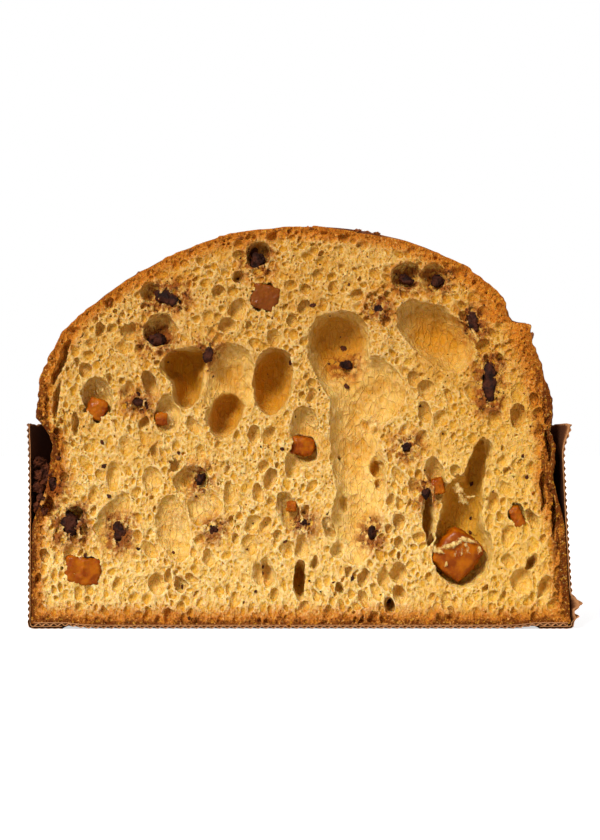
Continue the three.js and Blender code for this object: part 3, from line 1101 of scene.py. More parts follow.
@dataclass
class Loaf:
    """The baked dough: an open crumb face set in a shell of crust.

    inclusions names the CAD nodes of orange and chocolate that the crumb makes room for, and the two gaps
    are the room around them. The crumb is parted into strips, which together stay under most_triangles.
    setback is how far the crust's front edge lies behind the cut, and stain_reach how far chocolate smears.
    """

    outline: Outline
    inclusions: Sequence[str]
    peel_gap: float = 0.25
    chocolate_gap: float = -0.25
    pore_wall: float = 0.12
    foam_cell: float = 1.2
    foam_wall: float = 0.37
    foam_film: float = 0.24
    strips: int = 3
    most_triangles: int = 530_000
    rings_side: int = 46
    rings_dome: int = 120
    turn_steps: int = 150
    crust_thickness: float = 1.2
    setback: float = 1.3
    stain_reach: float = 7.5

    PORES: ClassVar[tuple[PoreClass, ...]] = (
        PoreClass(2.9, 4.2, 260, 0.9),
        PoreClass(2.0, 2.9, 1100, 0.85),
        PoreClass(1.4, 2.0, 2100, 0.8),
        PoreClass(1.0, 1.4, 7000, 0.7),
        PoreClass(0.75, 1.0, 9000, 0.6),
    )

    def build(self) -> list[bpy.types.Object]:
        """Makes the crumb and the crust."""
        return [*self.crumb(), self.crust()]

    def crumb(self) -> list[bpy.types.Object]:
        """The cut face, with its cavities, pores and torn rims as real shape, in strips.

        Returns:
            The strips, the last one first.
        """
        outline = self.outline
        grown = CrumbField(outline)
        grown.carve_cavities(CAVITIES)
        for node in self.inclusions:
            grown.carve_pocket(node, self.peel_gap if node.startswith("candied") else self.chocolate_gap)
        count = grown.fill_with_pores(self.PORES, self.pore_wall)
        grown.carve_foam(self.foam_cell, self.foam_wall, self.foam_film)
        log.info("crumb: %d pores", count)
        piece = grown.mesh("loaf_crumb")
        self._drop_islands(piece)
        Bench.apply(piece, "SMOOTH", factor=0.35, iterations=1)
        triangles = sum(len(face.vertices) - 2 for face in piece.data.polygons)
        log.info("crumb: %d triangles", triangles)
        Bench.apply(piece, "DECIMATE", ratio=min(1.0, self.most_triangles / triangles))
        Bench.take(piece)
        bpy.ops.object.shade_smooth()
        self._mark_crumb(piece)
        outline.sink(piece)
        finish = CrumbFinish(outline.cut, outline.bottom, outline.rim_height, outline.top).build()
        strips = self._parted(piece)
        for strip in strips:
            self._map_flat(strip)
            Bench.seat(strip, Slot.BREAD, finish, "loaf")
        return strips

    def _map_flat(self, piece: bpy.types.Object) -> None:
        """Lays a flat map over a strip of the cut face, with the faces that look away beside it.

        Args:
            piece: A strip of the crumb.
        """
        mesh = piece.data
        corner_of = np.empty(len(mesh.loops), dtype=np.int32)
        mesh.loops.foreach_get("vertex_index", corner_of)
        normals = np.empty(len(mesh.polygons) * 3, dtype=np.float32)
        mesh.polygons.foreach_get("normal", normals)
        sizes = np.empty(len(mesh.polygons), dtype=np.int32)
        mesh.polygons.foreach_get("loop_total", sizes)
        away = np.repeat(normals.reshape(-1, 3)[:, 1] > 0.02, sizes)
        corners = Bench.corners(piece)[corner_of]
        centres = np.empty(len(mesh.polygons) * 3, dtype=np.float32)
        mesh.polygons.foreach_get("center", centres)
        radius, span = self.outline.foot_radius, self.outline.top + 2.0
        width = 2.0 * radius / self.strips
        strip = np.floor((centres.reshape(-1, 3)[:, 0] / MM + radius) / width)
        across = corners[:, 0] + radius - np.repeat(strip, sizes) * width
        across = np.clip(across, 0.0, width) / span
        flat = np.stack([0.01 + across + 0.5 * away, corners[:, 2] / span], axis=1)
        layer = mesh.uv_layers.new(name="OFBake")
        layer.data.foreach_set("uv", flat.astype(np.float32).ravel())

    def _parted(self, piece: bpy.types.Object) -> list[bpy.types.Object]:
        """Parts the crumb into upright strips of equal width.

        Args:
            piece: The whole crumb, which becomes the last strip.

        Returns:
            The strips, the last one first.
        """
        radius = self.outline.foot_radius
        bounds = [(-radius + 2.0 * radius * index / self.strips) * MM for index in range(1, self.strips)]
        strips = [piece]
        for index, bound in enumerate(bounds):
            centres = np.empty(len(piece.data.polygons) * 3, dtype=np.float32)
            piece.data.polygons.foreach_get("center", centres)
            Bench.take(piece)
            bpy.ops.object.mode_set(mode="EDIT")
            bpy.ops.mesh.select_mode(type="FACE")
            bpy.ops.mesh.select_all(action="DESELECT")
            bpy.ops.object.mode_set(mode="OBJECT")
            piece.data.polygons.foreach_set("select", centres.reshape(-1, 3)[:, 0] < bound)
            bpy.ops.object.mode_set(mode="EDIT")
            bpy.ops.mesh.separate(type="SELECTED")
            bpy.ops.object.mode_set(mode="OBJECT")
            made = next(o for o in bpy.context.selected_objects if o is not piece)
            made.name = made.data.name = f"loaf_crumb_{index + 1}"
            strips.append(made)
        piece.name = piece.data.name = f"loaf_crumb_{self.strips}"
        return strips

    def _drop_islands(self, piece: bpy.types.Object) -> None:
        """Deletes scraps that hang free in the cavities.

        Args:
            piece: The crumb.
        """
        corners = Bench.corners(piece)
        Bench.take(piece)
        piece.data.vertices.foreach_set("select", np.zeros(len(corners), dtype=bool))
        piece.data.vertices[int(np.argmax(corners[:, 1]))].select = True
        bpy.ops.object.mode_set(mode="EDIT")
        bpy.ops.mesh.select_mode(type="VERT")
        bpy.ops.mesh.select_linked()
        bpy.ops.mesh.select_all(action="INVERT")
        bpy.ops.mesh.delete(type="VERT")
        bpy.ops.object.mode_set(mode="OBJECT")

    def _mark_crumb(self, piece: bpy.types.Object) -> None:
        """Stores depth below the skin, hollowness and chocolate stain on the crumb.

        Args:
            piece: The crumb.
        """
        corners = Bench.corners(piece)
        skin = self.outline.depth(corners[:, 0], corners[:, 1], corners[:, 2])
        thick = 1.0 + 0.5 * smoothstep(corners[:, 0], 45.0, 88.0)
        beside_gap = smoothstep(corners[:, 2], 30.0, 46.0) * (1.0 - smoothstep(corners[:, 2], 72.0, 84.0))
        skin = skin - 1.1 * beside_gap * smoothstep(np.abs(corners[:, 0]), 80.0, 92.0)
        Bench.mark(piece, "skin_mm", np.minimum(skin / thick, (corners[:, 2] - self.outline.bottom) * 0.7))
        Bench.mark(piece, "hollow", self._hollowness(piece, corners))
        stain = np.zeros(len(corners), dtype=np.float32)
        for node in self.inclusions:
            if not node.startswith("chocolate"):
                continue
            low, high = (np.array(corner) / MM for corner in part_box(node))
            away = np.maximum(np.abs(corners - (low + high) / 2.0) - (high - low) / 2.0, 0.0)
            stain = np.maximum(stain, 1.0 - np.linalg.norm(away, axis=1) / self.stain_reach)
        Bench.mark(piece, "stain", stain)

    @staticmethod
    def _hollowness(piece: bpy.types.Object, corners: Array) -> Array:
        """1 where the surface is a pit and 0 where it is a rim, from each vertex's neighbours.

        Args:
            piece: The crumb.
            corners: Its vertices in millimetres.

        Returns:
            One value per vertex.
        """
        edges = np.empty(len(piece.data.edges) * 2, dtype=np.int32)
        piece.data.edges.foreach_get("vertices", edges)
        first, second = edges.reshape(-1, 2).T
        normals = np.empty(len(corners) * 3, dtype=np.float32)
        piece.data.vertices.foreach_get("normal", normals)
        normals = normals.reshape(-1, 3)
        count = np.bincount(first, minlength=len(corners)) + np.bincount(second, minlength=len(corners))

        def spread(values: Array) -> Array:
            """The mean of each vertex's neighbours."""
            total = np.bincount(first, values[second], len(corners))
            total = total + np.bincount(second, values[first], len(corners))
            return total / np.maximum(count, 1)

        rise = np.stack([spread(corners[:, axis]) for axis in range(3)], axis=1) - corners
        bend = np.einsum("ij,ij->i", rise, normals)
        bend = 0.5 * bend + 0.5 * spread(bend)
        return np.clip(0.5 + bend / 0.12, 0.0, 1.0)

    def crust(self) -> bpy.types.Object:
        """The baked skin around the back: a shell whose front edge lies just behind the cut.

        Returns:
            The shell.
        """
        outline = self.outline
        wide = outline.foot_radius
        points = [(0.0, outline.bottom), (wide * 0.6, outline.bottom), (wide * 0.96, outline.bottom)]
        points.append((wide * 0.99, outline.bottom + 0.7))
        low = outline.bottom + 2.4
        for ring in range(self.rings_side):
            points.append((wide, mix(low, outline.dome_start, ring / self.rings_side)))
        for ring in range(self.rings_dome):
            climb = math.sin(math.pi / 2 * ring / self.rings_dome)
            points.append((wide, mix(outline.dome_start, outline.top, climb)))
        points.append((0.0, outline.top))
        piece = Bench.turned("loaf_crust", points, outline.cut, self.turn_steps)
        corners = Bench.corners(piece)
        across, back, z = corners[:, 0], corners[:, 1] - outline.cut, corners[:, 2]
        angle = np.arctan2(np.maximum(back, 0.0), across)
        reach = np.hypot(across, back) / wide * outline.radius(z, angle)
        corners[:, 0] = outline.middle(z) + reach * np.cos(angle)
        corners[:, 1] = outline.cut + self.setback + reach * np.sin(angle) * (1.0 - self.setback / wide)
        Bench.move_corners(piece, corners)
        self._roughen_skin(piece)
        Bench.apply(piece, "SOLIDIFY", thickness=self.crust_thickness * MM, offset=-1.0)
        outline.sink(piece)
        Bench.take(piece)
        bpy.ops.object.shade_smooth_by_angle(angle=math.radians(50.0))
        Bench.seat(piece, Slot.BREAD, CrustFinish(outline.rim_height).build(), "loaf")
        return piece

    def _roughen_skin(self, piece: bpy.types.Object) -> None:
        """Adds the shallow lumps and puckers of a baked skin, fading out at the cut.

        Args:
            piece: The skin before it gets its thickness.
        """
        group = piece.vertex_groups.new(name="skin")
        corners = Bench.corners(piece)
        strength = smoothstep(corners[:, 2], 50.0, 75.0)
        strength = strength * smoothstep(corners[:, 1] - self.outline.cut, 2.0, 14.0)
        for index in np.flatnonzero(strength > 0.0):
            group.add([int(index)], float(strength[index]), "REPLACE")
        for name, size, depth, relief in (("lumps", 14.0, 2, 2.4), ("puckers", 4.2, 3, 1.3)):
            Bench.apply(piece, "DISPLACE", texture=Bench.clouds(name, size, depth), strength=relief * MM,
                        mid_level=0.5, texture_coords="GLOBAL", vertex_group="skin")


# ---------------------------------------------------------------------------------------------------------
# The paper baking case
# ---------------------------------------------------------------------------------------------------------


@dataclass(frozen=True)
class PaperFinish:
    """Brown case paper, paler and furred where it is cut, with painted shade on its inner face in the gap by
    the loaf.
    """

    name: str
    dark: Colour = (0.045, 0.012, 0.005)
    brown: Colour = (0.25, 0.084, 0.025)
    worn: Colour = (0.47, 0.21, 0.08)
    gap_shade: Colour = (0.026, 0.007, 0.003)

    def build(self) -> bpy.types.Material:
        """Makes the material.

        Returns:
            The material.
        """
        shader = Shader(self.name)
        where = shader.place()
        fibre = shader.noise(shader.place(stretch=(1.0, 1.0, 3.0)), 1.1, 4.0, 0.7)
        mottle = shader.noise(where, 16.0, 3.0)
        colour = shader.ramp(mottle * 0.6 + fibre * 0.4, ((0.34, self.dark), (0.62, self.brown)))
        # Painted shade: the wall's inner face, in the gap by the loaf, turns near black.
        colour = shader.blend(shader.attribute("inside") * 0.8, colour, self.gap_shade)
        edge = shader.attribute("edge")
        colour = shader.blend((edge + (fibre - 0.5) * 0.8).rise(0.35, 0.9) * 0.85, colour, self.worn)
        grease = shader.noise(where, 30.0, 2.0).rise(0.55, 0.68)
        colour = shader.blend(grease * 0.35, colour, self.dark)
        return shader.dress(colour, 0.82 - 0.25 * grease, fibre, 0.08, Specular_IOR_Level=0.12)


@dataclass
class PaperCase:
    """The corrugated baking case: a fluted sheet on a liner, folded in under a corrugated disc.

    flute is the length of one wave, sheet and liner are the thicknesses of the two papers, and fold is the
    radius of the bend at the foot. The curls are how far the rim turns out at the two cut edges, torn_reach
    is the length of the flap at the foot, and base_turn the direction of the disc's waves in degrees.
    """

    outline: Outline
    flute: float = 2.4
    flute_height: float = 0.8
    sheet: float = 0.2
    liner: float = 0.26
    fold: float = 2.0
    flange: float = 13.0
    curl_right: float = 3.4
    curl_left: float = -0.6
    torn_reach: float = 3.6
    base_turn: float = 34.0
    points_per_flute: int = 6
    base_rows: int = 20
    turn_steps: int = 110

    def __post_init__(self) -> None:
        """Reads the disc's height from the frame."""
        self.disc_low, self.disc_high = (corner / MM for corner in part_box("case_base"))

    def build(self) -> list[bpy.types.Object]:
        """Makes the wall and the base."""
        return [self.wall(), self.base()]

    def _path(self, distance: float) -> tuple[Vector, Vector]:
        """The case's outside from the rim down the wall, round the fold and in along the flange.

        Args:
            distance: Way along the path from the rim.

        Returns:
            The point (radius, height) there and the direction out of the paper.
        """
        outline = self.outline
        straight = outline.rim_height - self.fold
        if distance < straight:
            z = outline.rim_height - distance
            return Vector((float(outline.case_radius(z)), z)), Vector((1.0, 0.0))
        arc = self.fold * math.pi / 2.0
        corner = Vector((float(outline.case_radius(self.fold)) - self.fold, self.fold))
        if distance < straight + arc:
            turn = (distance - straight) / self.fold
            out = Vector((math.cos(turn), -math.sin(turn)))
            return corner + out * self.fold, out
        inward = distance - straight - arc
        return Vector((corner.x - inward, 0.0)), Vector((0.0, -1.0))

    def _profile(self, step: float, shape: Callable[[float], float]) -> list[tuple[float, float]]:
        """Points along the path, each set back from the outside by shape(distance).

        Args:
            step: About how far apart the points are.
            shape: The set-back at a distance along the path.

        Returns:
            Points (radius, height).
        """
        arc = self.fold * math.pi / 2.0
        length = self.outline.rim_height - self.fold + arc + self.flange - self.fold
        count = int(length / step)
        points = []
        for index in range(count + 1):
            distance = length * index / count
            place, out = self._path(distance)
            place = place - out * shape(distance)
            points.append((place.x, place.y))
        return points

    def _flute(self, distance: float) -> float:
        """How far the fluted sheet lies inside the outer crests.

        Args:
            distance: Way along the path from the rim.

        Returns:
            The set-back of the sheet's middle.
        """
        fold = self.outline.rim_height - self.fold
        crushed = 1.0 - 0.75 * float(smoothstep(distance, fold - 3.0, fold + 1.0))
        wave = 0.5 - 0.5 * math.cos(2.0 * math.pi * distance / self.flute)
        return self.sheet / 2.0 + (self.flute_height - self.sheet) * wave * crushed

    def wall(self) -> bpy.types.Object:
        """The wall: liner and fluted sheet, worn along the cut.

        Returns:
            The wall in one piece.
        """
        waves = self._profile(self.flute / self.points_per_flute, self._flute)
        fluted = Bench.turned("case_wall_paper", waves, self.outline.cut, self.turn_steps)
        Bench.apply(fluted, "SOLIDIFY", thickness=self.sheet * MM, offset=0.0)
        inner = self.flute_height + self.liner / 2.0
        plain = self._profile(1.6, lambda _: inner)
        liner = Bench.turned("liner", plain, self.outline.cut, self.turn_steps)
        Bench.apply(liner, "SOLIDIFY", thickness=self.liner * MM, offset=0.0)
        Bench.take(fluted)
        liner.select_set(True)
        bpy.ops.object.join()
        self._wear(fluted)
        Bench.take(fluted)
        bpy.ops.object.shade_smooth_by_angle(angle=math.radians(60.0))
        Bench.seat(fluted, Slot.PAPER, PaperFinish("case_paper").build(), "case_wall")
        return fluted

    def _wear(self, piece: bpy.types.Object) -> None:
        """Leans the wall, frays its rim and its two cut edges, and curls one corner.

        Args:
            piece: The wall.
        """
        corners = Bench.corners(piece)
        x, y, z = corners.copy().T
        behind = y - self.outline.cut
        angle = np.arctan2(behind, x)
        near_cut = 1.0 - smoothstep(behind, 0.0, 9.0)
        near_rim = smoothstep(z, self.outline.rim_height - 4.0, self.outline.rim_height)
        ragged = 0.35 * np.sin(2.9 * z + 1.0) + 0.3 * np.sin(5.3 * z) + 0.25 * np.sin(1.1 * z)
        corners[:, 1] += ragged * (1.0 - smoothstep(behind, 0.0, 1.5)) + 0.4 * (behind < 0.6)
        corners[:, 2] += near_rim * (0.35 * np.sin(31.0 * angle) + 0.2 * np.sin(73.0 * angle) - 0.3)
        curl = near_cut * smoothstep(z, 62.0, 77.0)
        corners[:, 0] += np.where(x > 0.0, self.curl_right, self.curl_left) * curl * curl
        torn = np.exp(-(((z - 9.5) / 2.2) ** 2)) + 0.6 * np.exp(-(((z - 4.6) / 1.1) ** 2))
        corners[:, 0] += self.torn_reach * torn * (x > 0.0) * (behind < 0.6)
        buckle = 0.5 * np.sin(6.0 * angle + 0.04 * z) * smoothstep(z, 45.0, 77.0)
        corners[:, 0] += buckle * np.cos(angle)
        corners[:, 1] += buckle * np.sin(angle) * smoothstep(behind, 0.0, 20.0)
        corners[:, 0] += self.outline.lean_at(z)
        Bench.move_corners(piece, corners)
        edge = np.maximum(1.0 - smoothstep(behind, 0.2, 1.6), 0.8 * smoothstep(z, 75.6, 76.8))
        Bench.mark(piece, "edge", edge)
        # The inner face behind the cut, which the paper's colour darkens as painted shade.
        inside = 1.0 - smoothstep(np.hypot(x, behind) - self.outline.case_radius(z), -0.85, -0.7)
        Bench.mark(piece, "inside", inside * smoothstep(behind, 0.2, 1.2))

    def base(self) -> bpy.types.Object:
        """The disc: waves pressed between a liner and the flange, cut to a half circle.

        Returns:
            The disc in one piece.
        """
        low, high = self.disc_low, self.disc_high
        radius = high.y - low.y
        top = high.z
        across = 2.0 * radius + 8.0
        Bench.clear()
        bpy.ops.mesh.primitive_grid_add(x_subdivisions=int(across / self.flute * self.points_per_flute),
                                        y_subdivisions=self.base_rows, size=1.0)
        piece = bpy.context.object
        piece.scale = (across * MM, across * MM, 1.0)
        bpy.ops.object.transform_apply(scale=True)
        corners = Bench.corners(piece)
        wave_height = high.z - low.z - self.sheet - self.liner
        corners[:, 2] = top - self.liner - self.sheet / 2.0
        corners[:, 2] -= wave_height * (0.5 - 0.5 * np.cos(2.0 * math.pi * corners[:, 0] / self.flute))
        Bench.move_corners(piece, corners)
        Bench.apply(piece, "SOLIDIFY", thickness=self.sheet * MM, offset=0.0)
        Bench.clear()
        middle = (0.0, 0.0, (top - self.liner / 2.0) * MM)
        bpy.ops.mesh.primitive_grid_add(x_subdivisions=2 * self.base_rows,
                                        y_subdivisions=2 * self.base_rows, size=1.0, location=middle)
        sheet = bpy.context.object
        sheet.scale = (across * MM, across * MM, 1.0)
        bpy.ops.object.transform_apply(scale=True, location=True)
        Bench.apply(sheet, "SOLIDIFY", thickness=self.liner * MM, offset=0.0)
        for part, name in ((piece, "waves"), (sheet, "top")):
            part.name = name
            part.rotation_euler.z = math.radians(self.base_turn)
            part.location.y = self.outline.cut * MM
            self._cut_half(part, radius)
        Bench.take(piece)
        sheet.select_set(True)
        bpy.ops.object.join()
        Bench.settle(piece, "case_base_paper")
        self.outline.sink(piece)
        Bench.mark(piece, "edge", 1.0 - smoothstep(Bench.corners(piece)[:, 1] - self.outline.cut, 0.2, 1.6))
        Bench.seat(piece, Slot.PAPER, PaperFinish("base_paper").build(), "case_base")
        return piece

    def _cut_half(self, part: bpy.types.Object, radius: float) -> None:
        """Keeps the half circle of a sheet that lies behind the cut.

        Args:
            part: A turned and placed sheet.
            radius: The disc's radius.
        """
        Bench.take(part)
        bpy.ops.object.transform_apply(location=True, rotation=True, scale=True)
        Bench.clear()
        place = (0.0, self.outline.cut * MM, self.disc_high.z * MM)
        bpy.ops.mesh.primitive_cylinder_add(vertices=160, radius=radius * MM, depth=20.0 * MM, location=place)
        cutter = bpy.context.object
        bpy.ops.object.mode_set(mode="EDIT")
        bpy.ops.mesh.select_all(action="SELECT")
        bpy.ops.mesh.bisect(plane_co=place, plane_no=(0.0, -1.0, 0.0), use_fill=True, clear_outer=True)
        bpy.ops.object.mode_set(mode="OBJECT")
        Bench.apply(part, "BOOLEAN", operation="INTERSECT", object=cutter, solver="MANIFOLD")
        bpy.data.objects.remove(cutter)


# ---------------------------------------------------------------------------------------------------------
# Orange and chocolate
# ---------------------------------------------------------------------------------------------------------


@dataclass(frozen=True)
class PeelFinish:
    """Candied orange peel: sticky, glossy and half clear."""

    deep: Colour = (0.22, 0.037, 0.0001)
    bright: Colour = (0.38, 0.095, 0.0002)
    sugar: Colour = (0.55, 0.26, 0.02)
    baked: Colour = (0.15, 0.036, 0.003)
    bakes_between: tuple[float, float] = (92.0, 105.0)

    def build(self) -> bpy.types.Material:
        """Makes the material.

        Returns:
            The material.
        """
        shader = Shader("candied_orange")
        where = shader.place()
        cloud = shader.noise(where, 3.5, 3.0)
        pith = shader.noise(where, 0.9, 3.0, 0.6)
        colour = shader.blend(cloud.rise(0.35, 0.7), self.deep, self.bright)
        colour = shader.blend(pith.rise(0.62, 0.78) * 0.22, colour, self.sugar)
        colour = shader.blend(shader.axis(2).rise(*self.bakes_between) * 0.8, colour, self.baked)
        return shader.dress(colour, 0.3 + 0.25 * pith, pith, 0.12, Subsurface_Weight=0.3,
                            Subsurface_Radius=(1.0, 0.25, 0.03), Subsurface_Scale=2.5 * MM,
                            Specular_IOR_Level=0.06, Coat_Weight=0.1, Coat_Roughness=0.08)


@dataclass(frozen=True)
class ChocolateFinish:
    """Dark chocolate, matt and crumbly where it was cut, glossier on its beads."""

    dark: Colour = (0.012, 0.003, 0.0015)
    brown: Colour = (0.060, 0.013, 0.004)
    bloom: Colour = (0.18, 0.058, 0.020)

    def build(self) -> bpy.types.Material:
        """Makes the material.

        Returns:
            The material.
        """
        shader = Shader("dark_chocolate")
        where = shader.place()
        cloud = shader.noise(where, 2.4, 3.0)
        grain = shader.noise(where, 0.7, 3.0, 0.65)
        colour = shader.blend(cloud.rise(0.35, 0.68), self.dark, self.brown)
        colour = shader.blend(grain.rise(0.62, 0.78) * 0.4, colour, self.bloom)
        return shader.dress(colour, 0.40 + 0.4 * grain, grain, 0.5, Specular_IOR_Level=0.12)


@dataclass
class Inclusions:
    """The pieces of candied orange and chocolate, refined from their CAD solids.

    nodes holds every CAD node by name. fineness is how many steps of the new mesh fit in a piece's length,
    and each kind has its rounding, the times its edges are smoothed, and its relief, how many millimetres
    its surface wanders.
    """

    nodes: dict[str, bpy.types.Object]
    fineness: float = 26.0
    peel_rounding: int = 16
    peel_relief: float = 1.2
    chocolate_rounding: int = 1
    chocolate_relief: float = 2.2

    def __post_init__(self) -> None:
        """Sorts the frame's nodes."""
        self.orange = sorted(name for name in self.nodes if name.startswith("candied_orange"))
        self.chocolate = sorted(name for name in self.nodes if name.startswith("chocolate"))

    @property
    def names(self) -> list[str]:
        """The CAD nodes of all inclusions."""
        return self.orange + self.chocolate

    def build(self) -> list[bpy.types.Object]:
        """Makes every inclusion.

        Returns:
            The pieces, orange first.
        """
        peel, chocolate = PeelFinish().build(), ChocolateFinish().build()
        made = []
        for name in self.orange:
            piece = self._refined(name, "peel", self.peel_rounding, self.peel_relief)
            Bench.seat(piece, Slot.ORANGE, peel, name)
            made.append(piece)
        for name in self.chocolate:
            piece = self._refined(name, "piece", self.chocolate_rounding, self.chocolate_relief)
            Bench.seat(piece, Slot.CHOCOLATE, chocolate, name)
            made.append(piece)
        return made

    def _refined(self, node: str, kind: str, rounding: int, relief: float) -> bpy.types.Object:
        """A finer copy of a CAD solid with an uneven surface.

        Args:
            node: The CAD node.
            kind: The last word of the new piece's name.
            rounding: How many times its edges are smoothed.
            relief: How many millimetres its surface wanders.

        Returns:
            The new piece.
        """
        source = self.nodes[node]
        piece = bpy.data.objects.new(f"{node}_{kind}", source.data.copy())
        bpy.context.scene.collection.objects.link(piece)
        Bench.take(piece)
        bpy.ops.object.mode_set(mode="EDIT")
        bpy.ops.mesh.select_all(action="SELECT")
        bpy.ops.mesh.remove_doubles(threshold=0.01 * MM)
        bpy.ops.object.mode_set(mode="OBJECT")
        longest = max(piece.dimensions)
        Bench.apply(piece, "REMESH", mode="VOXEL", voxel_size=longest / self.fineness)
        Bench.apply(piece, "SMOOTH", factor=0.6, iterations=rounding)
        for size, share in ((3.0, 1.0), (1.0, 0.62)):
            Bench.apply(piece, "DISPLACE", texture=Bench.clouds(f"{node}_{size}", size), mid_level=0.5,
                        strength=relief * share * MM, texture_coords="GLOBAL")
        bpy.ops.object.shade_smooth()
        return piece


# ---------------------------------------------------------------------------------------------------------
# Torn films, specks and flakes
# ---------------------------------------------------------------------------------------------------------


@dataclass(frozen=True)
class FilmFinish:
    """A torn film of crumb: pale, thin and full of fibres."""

    body: Colour = (0.80, 0.54, 0.20)
    shade: Colour = (0.62, 0.34, 0.07)

    def build(self) -> bpy.types.Material:
        """Makes the material.

        Returns:
            The material.
        """
        shader = Shader("film")
        fibres = shader.noise(shader.place(turn=(0.0, 0.5, 0.0), stretch=(1.0, 1.0, 0.5)), 1.3, 4.0, 0.65)
        colour = shader.blend(fibres.rise(0.35, 0.65), self.shade, self.body)
        solid = (shader.attribute("solid") + (fibres - 0.5) * 1.9).rise(0.12, 0.95) * 0.9
        return shader.dress(colour, 0.55, fibres, 0.12, Alpha=solid, Subsurface_Weight=0.3,
                            Subsurface_Radius=(1.0, 0.6, 0.3), Subsurface_Scale=1.0 * MM,
                            Specular_IOR_Level=0.2)


@dataclass(frozen=True)
class Web:
    """One torn film: its middle, size, tilt in the cut plane, bulge towards the back and its solidity."""

    x: float
    z: float
    width: float
    height: float
    tilt: float = 0.0
    back: float = 0.4
    bulge: float = 1.0
    solid: float = 0.5


WEBS = (
    Web(56.4, 31.6, 11.0, 2.6, tilt=-20.0, back=-0.4, bulge=-0.4, solid=0.52),
    Web(51.2, 29.6, 5.4, 2.4, tilt=28.0, back=-0.4, bulge=-0.4, solid=0.6),
    Web(62.4, 33.4, 8.0, 2.2, tilt=14.0, back=-0.3, bulge=-0.4, solid=0.5),
    Web(66.8, 30.0, 2.0, 4.4, tilt=-20.0, back=-0.3, bulge=-0.4, solid=0.42),
    Web(60.4, 29.4, 9.0, 4.4, tilt=-24.0, back=-0.2, bulge=-0.4, solid=0.16),
    Web(59.0, 52.6, 3.6, 5.6, tilt=-40.0, back=1.5, bulge=1.0, solid=0.4),
    Web(60.6, 48.6, 5.4, 3.4, tilt=52.0, back=1.0, bulge=-0.8, solid=0.45),
    Web(63.6, 49.6, 5.0, 1.2, tilt=-6.0, back=1.0, bulge=-0.6, solid=0.5),
    Web(54.4, 24.4, 1.3, 2.2, tilt=15.0, back=-0.5, bulge=-0.4, solid=0.85),
    Web(5.0, 77.6, 6.5, 6.5, tilt=20.0, back=2.2, bulge=2.0, solid=0.42),
    Web(27.0, 77.4, 5.0, 6.0, tilt=-10.0, back=2.4, bulge=2.0, solid=0.5),
    Web(-50.5, 79.0, 6.5, 8.0, tilt=-25.0, back=1.6, bulge=2.5, solid=0.4),
    Web(-47.5, 41.0, 8.0, 11.0, tilt=-18.0, back=1.2, bulge=2.2, solid=0.36),
    Web(-53.0, 33.0, 6.0, 8.0, tilt=-30.0, back=1.2, bulge=2.0, solid=0.36),
    Web(-75.0, 90.6, 6.5, 5.5, tilt=20.0, back=1.8, bulge=2.5, solid=0.35),
    Web(12.0, 20.4, 8.0, 5.0, tilt=15.0, back=1.0, bulge=1.4, solid=0.42),
    Web(10.5, 40.0, 3.0, 8.0, tilt=-10.0, back=0.8, bulge=1.2, solid=0.45),
    Web(-36.0, 47.5, 6.0, 8.0, tilt=10.0, back=1.4, bulge=1.8, solid=0.3),
    Web(40.0, 74.0, 6.5, 8.0, tilt=10.0, back=1.2, bulge=1.4, solid=0.3),
)


